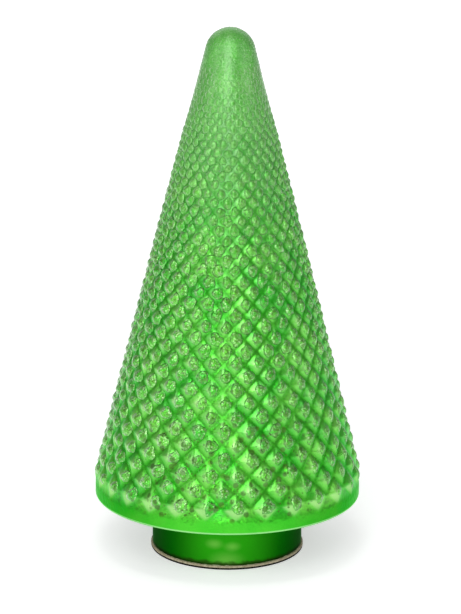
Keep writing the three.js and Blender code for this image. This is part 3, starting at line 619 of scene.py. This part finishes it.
def resistor_material():
    """A tan body with coloured rings across it."""
    s = Shader("resistor_body")
    x = s.axis("X")
    color = s.mix(s.noise(900, 2), (0.58, 0.44, 0.26), (0.68, 0.54, 0.34))
    bands = ((-9.9, (0.35, 0.02, 0.02)), (-8.9, (0.03, 0.03, 0.03)), (-7.9, (0.28, 0.12, 0.04)))
    for place, band in bands:
        near = s.math("ABSOLUTE", s.math("SUBTRACT", x, place * MM))
        color = s.mix(s.fall(near, 0.18 * MM, 0.24 * MM), color, band)
    s.set(base_color=color, roughness=0.4, normal=s.bump(s.noise(900, 2), 0.04 * MM, 0.4))
    return s.material


def bead_material():
    """Clear warm resin over a small lamp, which is off."""
    s = Shader("led_resin")
    inside = s.noise(320, 3)
    color = s.mix(s.ramp(inside, 0.4, 0.6), (0.80, 0.66, 0.36), (0.92, 0.86, 0.66))
    s.set(base_color=color, roughness=s.ramp(inside, 0.3, 0.7, 0.08, 0.18))
    s.set(transmission=0.6, ior=1.5, normal=s.bump(inside, 0.1 * MM, 0.3))
    return s.material


# Meshes


def add_piece(name, points, faces, material, body="tree", smooth=True):
    mesh = bpy.data.meshes.new(name)
    mesh.from_pydata(points, [], faces, shade_flat=not smooth)
    mesh.materials.append(material)
    piece = add_object(name, mesh)
    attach(piece, body)
    return piece


def add_values(piece, name, values):
    """A number for each point of the piece, for its material."""
    layer = piece.data.attributes.new(name, "FLOAT", "POINT")
    layer.data.foreach_set("value", np.asarray(values, np.float32))


def arc(radius, height, size, start, end, steps):
    """Points (radius, height) on an arc about a centre, between two angles in degrees."""
    angles = np.radians(np.linspace(start, end, steps + 1))
    return [(radius + size * math.cos(a), height + size * math.sin(a)) for a in angles]


def around(radius, angle, z):
    """Points at that radius and angle, where angle 0 is the front and the right is positive."""
    return np.stack(np.broadcast_arrays(radius * np.sin(angle), -radius * np.cos(angle), z), -1)


def ring(sides):
    """The numbers of a ring's points, and those of the next ones."""
    first = np.arange(sides)
    return first, (first + 1) % sides


def tube_faces(rings, sides):
    """Faces between rings of points, of which the last one joins the first."""
    first, after = ring(sides)
    faces = []
    for k in range(rings):
        low, high = k * sides, (k + 1) % rings * sides
        faces.append(np.stack([low + first, low + after, high + after, high + first], -1))
    return np.concatenate(faces)


def waves(angles, least, counts):
    """A sum of waves of random height round a ring. Each count is one wave's number of crests."""
    return sum(RNG.uniform(least, 1) * np.sin(count * angles + RNG.uniform(0, PHASE)) for count in counts)


def cone_radius(z):
    return RIM_RADIUS - (z - NUB_START) * math.tan(CONE_LEAN)


def half_width(z):
    return math.pi * cone_radius(z) / NUB_COLUMNS


def row_pitch(z):
    share = (z - NUB_START) / (DOME_START - NUB_START)
    return NUB_ROW_PITCH + (NUB_TOP_PITCH - NUB_ROW_PITCH) * share


def nub_levels():
    """Heights of the nub rows, from the band's top, which counts as row -1."""
    levels = [NUB_START]
    while levels[-1] + row_pitch(levels[-1]) < min(DOME_START, NUB_FADE_END):
        levels.append(levels[-1] + row_pitch(levels[-1]))
    return np.array(levels)


LEVELS = nub_levels()


def rounded(distance, size):
    """A distance that starts along a round fillet and not at once."""
    return np.sqrt(distance**2 + size**2) - size


def soft_least(a, b, size):
    return 0.5 * (a + b - np.sqrt((a - b) ** 2 + size**2))


def nub_shape(column, row, groove, ridge):
    """Height from 0 in the grooves to about 1 on the tips. Tips are where row and column are whole
    numbers whose sum is even. groove and ridge are the roundings, as shares of a nub."""
    rising, falling = column + row, column - row
    to_rising = rounded(np.abs(np.mod(rising, 2) - 1), groove)
    to_falling = rounded(np.abs(np.mod(falling, 2) - 1), groove)
    height = soft_least(to_rising, to_falling, ridge) - soft_least(0, 0, ridge)
    height = soft_least(height, 1 - TIP_ROUND, TIP_ROUND)
    home_row = np.round(rising / 2) - np.round(falling / 2)
    return np.where(home_row < 0, 0, np.maximum(height, 0))


def nub_fade(z):
    share = np.clip((z - (NUB_FADE_END - NUB_FADE_LENGTH)) / NUB_FADE_LENGTH, 0, 1)
    return 1 - share * share * (3 - 2 * share)


def relief_at(z):
    return NUB_RELIEF * cone_radius(z) / RIM_RADIUS * nub_fade(z)


def glass_surface(column, z):
    """Points of the nubbed cone at those columns and heights. The first nub of the lowest row is in
    column 0, and the next one in column 2."""
    return around(cone_radius(z) + nub_height(column, z) * relief_at(z), column_angle(column), z)


def nub_height(column, z):
    row = np.interp(z, LEVELS, np.arange(len(LEVELS)) - 1)
    width = half_width(z)
    nub = nub_shape(column, row, GROOVE_ROUND / width, RIDGE_ROUND / width)
    return np.where((z > LEVELS[0]) & (z < LEVELS[-1]), nub, 0)


def column_angle(column):
    return NUB_TURN + column * math.pi / NUB_COLUMNS


def patch_radius(z):
    share = np.clip((z - NUB_START) / (DOME_START - NUB_START), 0, 1)
    return half_width(z) * (PATCH_LOW + (PATCH_HIGH - PATCH_LOW) * share)


def patch_column(column):
    """Where across the glass the patch of the nub at that column has its middle."""
    left = np.maximum(0, -np.sin(column_angle(column)))
    return column + PATCH_OFFSET + PATCH_LEFT_OFFSET * left + RNG.normal(0, PATCH_SCATTER)


def foot_profile():
    """Outside of the neck, shoulder, rim and band, from the foot up, as (radius, height)."""
    fillet_radius, fillet_z = NECK_RADIUS + NECK_FILLET, SHOULDER_Z - NECK_FILLET
    points = [(NECK_RADIUS - FOOT_BEVEL, FOOT_Z), (NECK_RADIUS, FOOT_Z + FOOT_BEVEL)]
    points += [(NECK_RADIUS, z) for z in np.linspace(FOOT_Z + 4 * MM, fillet_z, 5)[:-1]]
    points += arc(fillet_radius, fillet_z, NECK_FILLET, 180, 90, 5)
    points += [(radius, SHOULDER_Z) for radius in np.linspace(fillet_radius, RIM_RADIUS, 4)[1:-1]]
    points += arc(RIM_RADIUS - RIM_ROUND, RIM_HEIGHT, RIM_ROUND, -90, 0, 6)
    points += [(RIM_RADIUS, z) for z in np.linspace(RIM_HEIGHT, NUB_START, 4)[1:-1]]
    return points


def inner_profile():
    """Inside of the glass, from the foot up."""
    neck = NECK_RADIUS - GLASS_WALL
    rim = RIM_RADIUS - GLASS_WALL
    across = GLASS_WALL / math.cos(CONE_LEAN)
    bend = NUB_START - (across - GLASS_WALL) / math.tan(CONE_LEAN)
    dome = arc(0, DOME_Z, TIP_DOME_RADIUS - GLASS_WALL, math.degrees(CONE_LEAN), 90, 6)[:-1]
    shelf = SHOULDER_Z + GLASS_WALL
    return [(neck, FOOT_Z), (neck, shelf), (rim, shelf), (rim, bend), *dome]


def band_faces(start, rows, sides, leans):
    """Triangles between rings of points, facing out. leans gives each ring's number, whose parity with
    the column's turns the diagonals so that they follow the nubs' grooves."""
    first, after = ring(sides)
    faces = []
    for k in range(rows - 1):
        a = start + k * sides + first
        b = start + k * sides + after
        c, d = b + sides, a + sides
        forward = ((first // NUB_STEPS + leans[k]) % 2 == 0)[:, None]
        faces.append(np.where(forward, np.stack([a, b, d], -1), np.stack([a, b, c], -1)))
        faces.append(np.where(forward, np.stack([b, c, d], -1), np.stack([a, c, d], -1)))
    return np.concatenate(faces)


def build_glass():
    sides = 2 * NUB_COLUMNS * NUB_STEPS
    columns = np.arange(sides) / NUB_STEPS
    angles = column_angle(columns)
    foot = foot_profile()
    steps = np.arange((len(LEVELS) - 1) * NUB_STEPS)
    heights = np.interp(steps / NUB_STEPS, np.arange(len(LEVELS)), LEVELS)
    kept = (heights < THIN_START) | (steps % 2 == 0)
    steps, heights = steps[kept] / NUB_STEPS, heights[kept]
    dome = [(cone_radius(z), z) for z in np.linspace(LEVELS[-1], DOME_START, 5)[:-1]]
    dome += arc(0, DOME_Z, TIP_DOME_RADIUS, math.degrees(CONE_LEAN), 90, 14)[:-1]
    inner = inner_profile()
    rings = [around(radius, angles, z) for radius, z in foot]
    rings += [glass_surface(columns, z) for z in heights]
    rings += [around(radius, angles, z) for radius, z in dome]
    count = len(rings)
    rings += [around(radius, angles, z) for radius, z in inner]
    poles = [[0, 0, TREE_HEIGHT], [0, 0, TREE_HEIGHT - GLASS_WALL]]
    points = np.concatenate([*rings, poles])

    leans = np.zeros(count, int)
    leans[len(foot) : len(foot) + len(steps)] = np.floor(steps) - 1
    start = count * sides
    first, after = ring(sides)
    outside, inside = start - sides, start + (len(inner) - 1) * sides
    top = np.full(sides, len(points) - 2)
    faces = [
        band_faces(0, count, sides, leans),
        band_faces(start, len(inner), sides, np.zeros(len(inner), int))[:, ::-1],
        np.stack([top, outside + first, outside + after], -1),
        np.stack([top + 1, inside + after, inside + first], -1),
        np.stack([first, start + first, after], -1),
        np.stack([after, start + first, start + after], -1),
    ]
    faces = np.concatenate(faces)
    glass = add_piece("glass_tree", points, faces, glass_material())
    glass.data.materials.append(neck_material())
    neck = points[faces][:, :, 2].max(axis=1) < SHOULDER_Z + 0.01 * MM
    glass.data.polygons.foreach_set("material_index", neck.astype(np.int32))
    # These numbers carry the painted shade in the grooves and the painted highlight on the ridges, and
    # the lowest nubs also get a painted highlight at their foot
    rises = np.full(len(points), PLAIN_RISE)
    slope, most = LOW_NUB_HIGHLIGHT
    on_nubs = []
    for z, step in zip(heights, steps):
        nub = nub_height(columns, z)
        paler = nub - PLAIN_RISE
        if step < 1:
            paler = np.maximum(paler, np.minimum(slope * nub, most))
        on_nubs.append(PLAIN_RISE + paler * nub_fade(z))
    rises[len(foot) * sides : (len(foot) + len(steps)) * sides] = np.concatenate(on_nubs)
    add_values(glass, "rise", rises)
    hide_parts("glass_shell")


def add_grains(name, column, z, size, tone_and_highlight):
    """Small closed shards, half sunk in the glass at those places."""
    step = 0.05 * MM
    middle = glass_surface(column, z)
    width = half_width(z)
    right = glass_surface(column + step / width, z) - glass_surface(column - step / width, z)
    up = glass_surface(column, z + step) - glass_surface(column, z - step)
    build_shards(name, middle, right, up, size, tone_and_highlight)


def build_shards(name, middle, right, up, size, tone_and_highlight):
    right /= np.linalg.norm(right, axis=-1, keepdims=True)
    out = np.cross(right, up)
    out /= np.linalg.norm(out, axis=-1, keepdims=True)
    up = np.cross(out, right)
    count = len(middle)
    spin = RNG.uniform(0, 2 * math.pi, (count, 1)) + np.radians([0, 120, 240])
    spin += RNG.uniform(-0.5, 0.5, (count, 3))
    reach = RNG.uniform(0.6, 1.1, (count, 3)) * size[:, None]
    sink = RNG.uniform(0.15, 0.55, (count, 3)) * size[:, None]
    base = middle[:, None] + (
        (reach * np.cos(spin))[..., None] * right[:, None]
        + (reach * np.sin(spin))[..., None] * up[:, None]
        - sink[..., None] * out[:, None]
    )
    lean = RNG.uniform(-0.6, 0.6, (count, 2)) * size[:, None]
    rise = (RNG.uniform(0.3, 0.8, count) * size)[:, None]
    peak = middle + lean[:, :1] * right + lean[:, 1:] * up + rise * out
    points = np.concatenate([base, peak[:, None]], 1).reshape(-1, 3)
    corner = 4 * np.arange(count)[:, None]
    faces = np.stack([corner + [0, 1, 3], corner + [1, 2, 3], corner + [2, 0, 3], corner + [0, 2, 1]], 1)
    piece = add_piece(name, points, faces.reshape(-1, 3), GLITTER)
    add_values(piece, "tone_and_highlight", np.repeat(tone_and_highlight, 4))


def build_drops():
    """A raised clear drop with an uneven outline on each nub, to the right of its tip."""
    fractions, rises = np.array(DROP_RINGS).T
    turn = np.arange(PATCH_SIDES) * 2 * math.pi / PATCH_SIDES
    middles, radii = [], []
    for row, z in enumerate(LEVELS[1:-1]):
        for nub in range(NUB_COLUMNS):
            middles.append((patch_column(2 * nub + row % 2), z + RNG.normal(0, 0.3) * MM))
            radii.append(float(patch_radius(z)) * RNG.uniform(0.82, 1.15))
    (columns, heights), radii = np.array(middles).T, np.array(radii)
    count = len(radii)
    outline = np.ones((count, PATCH_SIDES))
    for lobes in (2, 3, 5):
        swing = RNG.uniform(0.03, 0.13, (count, 1))
        outline += swing * np.sin(lobes * turn + RNG.uniform(0, PHASE, (count, 1)))
    far = radii[:, None, None] * fractions[:, None] * outline[:, None, :]
    column = columns[:, None, None] + far * np.sin(turn) / half_width(heights)[:, None, None]
    height = heights[:, None, None] + PATCH_STRETCH * far * np.cos(turn)
    upward = np.clip((heights - NUB_START) / (FROST_START - NUB_START), 0, 1)
    domed = DROP_RISE + (DROP_RISE_HIGH - DROP_RISE) * upward
    domed = domed * np.minimum(1, relief_at(heights) / DROP_FULL_RELIEF)
    uneven = RNG.uniform(-0.1, 0.1, (count, len(rises), PATCH_SIDES))
    rise = (radii * domed)[:, None, None] * (rises[:, None] + uneven)
    rings = raise_from_cone(column, height, rise).reshape(count, -1, 3)
    top = raise_from_cone(columns, heights, domed * radii)[:, None]
    under = raise_from_cone(columns, heights, -DROP_SINK * DROP_RISE * radii)[:, None]
    points = np.concatenate([rings, top, under], 1)
    top_point = len(rises) * PATCH_SIDES
    first, after = ring(PATCH_SIDES)
    faces = [np.stack([np.full(PATCH_SIDES, top_point), after, first], -1)]
    for k in range(len(rises) - 1):
        a, b = k * PATCH_SIDES + first, k * PATCH_SIDES + after
        c, d = b + PATCH_SIDES, a + PATCH_SIDES
        faces += [np.stack([a, b, c], -1), np.stack([a, c, d], -1)]
    edge = top_point - PATCH_SIDES
    faces.append(np.stack([np.full(PATCH_SIDES, top_point + 1), edge + first, edge + after], -1))
    each = np.arange(count)[:, None, None] * points.shape[1]
    faces = (np.concatenate(faces)[None] + each).reshape(-1, 3)
    drops = add_piece("glitter_drops", points.reshape(-1, 3), faces, drop_material())

    # A painted highlight makes the edges on the outward side pale
    outward = np.sin(turn) * np.clip(1.6 * np.sin(column_angle(columns)), -1, 1)[:, None]
    arc_highlights = np.array(ARC_HIGHLIGHT_RINGS)[:, None] * np.clip(outward, 0.12, 1)[:, None, :]
    add_values(drops, "arc", np.concatenate([arc_highlights.reshape(count, -1), np.zeros((count, 2))], 1).ravel())


def raise_from_cone(column, z, rise):
    """Points of the glass at those places, raised square to the cone."""
    z = np.clip(z, NUB_START, LEVELS[-1])
    angle = column_angle(column)
    out = around(math.cos(CONE_LEAN), angle, np.full(z.shape, math.sin(CONE_LEAN)))
    return glass_surface(column, z) + out * np.asarray(rise)[..., None]


def build_glitter():
    """Grains on each nub's patch, drawn to its outward edge and paler there as a painted highlight, and a
    few loose ones anywhere.
    """
    parts = []
    for row, z in enumerate(LEVELS[1:-1]):
        width, radius = float(half_width(z)), float(patch_radius(z))
        scale = GRAIN_SIZE * (0.6 + 0.4 * radius / float(patch_radius(NUB_START)))
        for nub in range(NUB_COLUMNS):
            middle = patch_column(2 * nub + row % 2)
            spread = radius * RNG.uniform(0.85, 1.12)
            inner = int(GRAINS_PER_MM2 * math.pi * (radius / MM) ** 2)
            outer = int(2 * math.pi * radius / EDGE_SPACING)
            far = [np.sqrt(RNG.uniform(0, 0.9, inner)), RNG.normal(1.0, 0.06, outer)]
            far = np.concatenate(far) * spread
            turn = RNG.uniform(0, 2 * math.pi, inner + outer)
            side = math.sin(column_angle(2 * nub + row % 2))
            outward = (0 if side > 0 else math.pi) + RNG.normal(0, 0.7, outer)
            drawn = RNG.uniform(0, 1, outer) < 0.1 + 0.85 * abs(side)
            turn[inner:] = np.where(drawn, outward, turn[inner:])
            # The edge grains are paler, as a painted highlight
            tone_and_highlight = np.concatenate([RNG.uniform(0, 0.8, inner), RNG.uniform(0.4, 1, outer)])
            size = RNG.uniform(0.6, 1.4, inner + outer) * scale
            column = middle + far * np.cos(turn) / width
            parts.append(np.stack([column, z + far * np.sin(turn), size, tone_and_highlight]))
    column = RNG.uniform(0, 2 * NUB_COLUMNS, LOOSE_GRAINS)
    height = NUB_START + RNG.triangular(0, 0, 1, LOOSE_GRAINS) * (LEVELS[-1] - NUB_START)
    size = RNG.uniform(0.5, 1.2, LOOSE_GRAINS) * GRAIN_SIZE
    parts.append(np.stack([column, height, size, RNG.uniform(0, 1, LOOSE_GRAINS)]))
    column, height, size, tone_and_highlight = np.concatenate(parts, axis=1)
    add_grains("nub_glitter", column, np.clip(height, NUB_START, LEVELS[-1]), size, tone_and_highlight)


def build_frost():
    """Fine grains all over the upper third and the round tip, denser at the left and right sides and
    paler there as a painted sheen.
    """
    share = RNG.uniform(0, 1, FROST_GRAINS) ** 0.5
    top = TREE_HEIGHT - 0.2 * MM
    z = FROST_START + (top - FROST_START) * share
    turn = RNG.uniform(0, 2 * math.pi, FROST_GRAINS)
    share = cone_radius(np.minimum(z, DOME_START)) / FROST_FULL_RADIUS
    share = np.where(z < DOME_START, share, DOME_FROST)
    keep = RNG.uniform(0, 1, FROST_GRAINS) < share * (0.3 + 0.9 * np.abs(np.sin(turn)))
    z, turn = z[keep], turn[keep]
    on_dome = z > DOME_START
    dome_z = np.clip(z, DOME_START, TREE_HEIGHT)
    dome_radius = np.sqrt(np.maximum(TIP_DOME_RADIUS**2 - (dome_z - DOME_Z) ** 2, 0))
    column = (turn - NUB_TURN) * NUB_COLUMNS / math.pi
    cone = glass_surface(column, np.minimum(z, DOME_START))
    middle = np.where(on_dome[:, None], around(dome_radius, turn, dome_z), cone)
    slope = math.pi / 2 - CONE_LEAN
    tilt = np.where(on_dome, np.arctan2(dome_radius, dome_z - DOME_Z), slope)
    right = np.stack([np.cos(turn), np.sin(turn), np.zeros(len(z))], -1)
    up = np.stack([-np.sin(turn) * np.cos(tilt), np.cos(turn) * np.cos(tilt), np.sin(tilt)], -1)
    size = RNG.uniform(0.45, 1.25, len(z)) * FROST_SIZE
    # Paler at the left and right sides, as a painted sheen
    tone_and_highlight = RNG.uniform(0, 1, len(z)) * (0.5 + 0.85 * np.abs(np.sin(turn)))
    build_shards("tip_frost", middle, right, up, size, tone_and_highlight)


def ragged_ring(name, radii, heights, sides, wobble, material):
    """A ring cut from sheet, with slightly uneven edges and worn corners."""
    (inner, outer), (low, high) = radii, heights
    corner = min(RING_CORNER, (high - low) / 8)
    profile = [(inner, low + corner), (inner + corner, low), (outer - corner, low), (outer, low + corner)]
    profile += [(outer, high - corner), (outer - corner, high)]
    profile += [(inner + corner, high), (inner, high - corner)]
    angles = np.arange(sides) * 2 * math.pi / sides
    rough = waves(angles, -1, (3, 7, 17, 41, 73)) * wobble / 3 + RNG.uniform(-wobble, wobble, sides) / 3
    middle = (inner + outer) / 2
    rings = [around(r + rough * (1 if r > middle else INNER_WOBBLE), angles, z) for r, z in profile]
    return add_piece(name, np.concatenate(rings), tube_faces(len(rings), sides), material)


def build_foot_rings():
    radii, heights = (CORK_INNER, CORK_OUTER), (FOAM_TOP, FOOT_Z)
    cork = ragged_ring("cork_sheet", radii, heights, 360, 0.16 * MM, cork_material())
    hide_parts("cork_ring")
    radii, heights = (CORK_INNER + FOAM_SETBACK, CORK_OUTER - FOAM_SETBACK), (0, FOAM_TOP)
    foam = ragged_ring("foam_sheet", radii, heights, 240, 0.06 * MM, foam_material())
    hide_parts("foam_ring")


def dress_nodes():
    """Finishes for the solids that keep their shape."""
    black = moulded_material("black_plastic", (0.012, 0.012, 0.013), (0.030, 0.030, 0.032), 0.42)
    white = moulded_material("white_plastic", (0.60, 0.59, 0.55), (0.76, 0.75, 0.71), 0.34)
    clear = moulded_material(
        "clear_plastic", (0.78, 0.84, 0.84), (0.90, 0.94, 0.94), 0.10, transmission=0.85, ior=1.49
    )
    epoxy = moulded_material("chip_epoxy", (0.008, 0.008, 0.009), (0.024, 0.024, 0.026), 0.34)
    red = moulded_material("lead_red", (0.36, 0.015, 0.010), (0.52, 0.03, 0.02), 0.40)
    sleeve = moulded_material("lead_black", (0.010, 0.010, 0.010), (0.024, 0.024, 0.024), 0.40)
    nickel = metal_material("contact_metal", (0.66, 0.65, 0.62), 0.26)
    zinc = metal_material("screw_steel", (0.56, 0.57, 0.59), 0.32)
    copper = metal_material("copper_wire", (0.72, 0.36, 0.20), 0.30)
    finishes = {
        "battery_tray": black,
        "tray_cover": black,
        "battery_door": black,
        "glue_bead": glue_material(),
        "circuit_board": board_material(),
        "timer_chip": epoxy,
        "resistor": resistor_material(),
        "quartz_can": nickel,
        "contact_minus": nickel,
        "contact_plus": nickel,
        "contact_link": nickel,
        "cover_screw": zinc,
        "switch_body": zinc,
        "switch_slider": white,
        "lead_plus": red,
        "lead_minus": sleeve,
        "light_post": clear,
        "post_cap": white,
        "led_wire": copper,
        "led_bead": bead_material(),
    }
    for name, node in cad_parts.items():
        finish = finishes.get(name.rstrip("_0123456789"))
        if name.startswith("battery_cell"):
            low, high = (corner.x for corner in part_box(name))
            finish = cell_material(low, high, name.endswith("2"))
        if finish:
            node.data.materials.clear()
            node.data.materials.append(finish)


def raised_plate(outline, low, high):
    """Points and faces of a closed plate with that outline, counterclockwise from above."""
    count = len(outline)
    points = [(x, y, z) for z in (low, high) for x, y in outline]
    faces = [tuple(reversed(range(count))), tuple(range(count, 2 * count))]
    faces += [(k, (k + 1) % count, count + (k + 1) % count, count + k) for k in range(count)]
    return points, faces


def raised_stroke(start, end, width, low, high):
    start, end = Vector(start), Vector(end)
    along = (end - start).normalized() * width / 2
    side = Vector((-along.y, along.x))
    start, end = start - along, end + along
    return raised_plate((start - side, end - side, end + side, start + side), low, high)


def raised_arc(center, across, tall, width, start, end, steps, low, high):
    """A band along an oval between two angles in degrees, closed if it goes all round."""
    closed = end - start == 360
    angles = np.radians(np.linspace(start, end, steps + 1))[: steps if closed else steps + 1]
    count = len(angles)
    points = [
        (center[0] + (across + side) * math.cos(a), center[1] + (tall + side) * math.sin(a), z)
        for z in (low, high)
        for side in (-width / 2, width / 2)
        for a in angles
    ]
    faces = []
    for k in range(count if closed else count - 1):
        inner, after = k, (k + 1) % count
        outer, beyond = count + inner, count + after
        faces += [
            (after, beyond, outer, inner),
            tuple(2 * count + point for point in (inner, outer, beyond, after)),
            (outer, beyond, 2 * count + beyond, 2 * count + outer),
            (after, inner, 2 * count + inner, 2 * count + after),
        ]
    if not closed:
        faces.append((0, count, 3 * count, 2 * count))
        faces.append((2 * count - 1, count - 1, 3 * count - 1, 4 * count - 1))
    return points, faces


def add_marks(name, shapes, body):
    points, faces = [], []
    for more, sides in shapes:
        faces += [tuple(len(points) + k for k in side) for side in sides]
        points += more
    pale = moulded_material(name, (0.44, 0.44, 0.42), (0.62, 0.62, 0.60), 0.45)
    add_piece(name, points, faces, pale, body, smooth=False)


LETTER_STROKES = {
    "F": [((0, 0.5), (0, -0.5)), ((0, -0.5), (LETTER_WIDTH, -0.5)), ((0, 0), (0.5, 0))],
    "N": [
        ((0, 0.5), (0, -0.5)),
        ((0, -0.5), (LETTER_WIDTH, 0.5)),
        ((LETTER_WIDTH, 0.5), (LETTER_WIDTH, -0.5)),
    ],
}


def build_marks():
    """OFF, ON and a clock by the switch, and arrows on the door that show which way it opens. They are
    read from below with the front edge at the top, so they run towards +X and their up is -Y."""
    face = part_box("battery_tray")[0].z
    low, high = face - MARK_RISE, face + MARK_SINK
    shapes = []
    for text, x, y in MARK_TEXTS:
        for place, letter in enumerate(text):
            left = x + place * LETTER_STEP
            if letter == "O":
                half = (LETTER_WIDTH * LETTER_SIZE / 2, LETTER_SIZE / 2)
                middle = (left + half[0], y)
                shapes.append(raised_arc(middle, *half, LINE_WIDTH, 0, 360, 20, low, high))
                continue
            for step, ends in enumerate(LETTER_STROKES[letter]):
                start, end = [(left + a * LETTER_SIZE, y + b * LETTER_SIZE) for a, b in ends]
                shapes.append(raised_stroke(start, end, LINE_WIDTH, low - step * MARK_STEP, high))
    clock = (CLOCK_X, SWITCH_Y)
    shapes.append(raised_arc(clock, CLOCK_RADIUS, CLOCK_RADIUS, LINE_WIDTH, 0, 360, 24, low, high))
    for step, (across, down) in enumerate(CLOCK_HANDS):
        end = (CLOCK_X + across, SWITCH_Y + down)
        shapes.append(raised_stroke(clock, end, HAND_WIDTH, low - step * MARK_STEP, high))
    add_marks("switch_marks", shapes, "tree")

    arrows = []
    low, high = DOOR_FACE - MARK_RISE, DOOR_FACE + MARK_SINK
    reach = ARROW_RADIUS
    for turn in (90, 270):
        tail, base, tip = (turn + angle for angle in ARROW_TURNS)
        arrows.append(raised_arc((0, DOOR_Y), reach, reach, ARROW_WIDTH, tail, base, 16, low, high))
        head = [(reach + ARROW_HEAD, base), (reach, tip), (reach - ARROW_HEAD, base)]
        head = [(r * math.cos(math.radians(a)), DOOR_Y + r * math.sin(math.radians(a))) for r, a in head]
        arrows.append(raised_plate(head, low, high))
    add_marks("door_arrows", arrows, "door")


def build_glue_seam():
    """Glue squeezed out in an uneven line between the neck and the cork."""
    angles = np.arange(SEAM_SIDES) * 2 * math.pi / SEAM_SIDES
    swell = 0.5 + 0.22 * waves(angles, 0.3, (5, 11, 23, 47)) + RNG.uniform(-0.12, 0.12, SEAM_SIDES)
    wide, tall = (half * np.clip(swell, 0.05, 1) for half in SEAM_HALF)
    rings = []
    for step in range(SEAM_RINGS):
        turn = 2 * math.pi * step / SEAM_RINGS
        rings.append(around(SEAM_RADIUS + wide * math.cos(turn), angles, SEAM_Z + tall * math.sin(turn)))
    faces = tube_faces(SEAM_RINGS, SEAM_SIDES)
    add_piece("glue_seam", np.concatenate(rings), faces, glue_material())


GLITTER = glitter_material()
place_camera()
light_scene()
build_floor()
build_glass()
build_drops()
build_glitter()
build_frost()
build_foot_rings()
build_glue_seam()
build_marks()
dress_nodes()
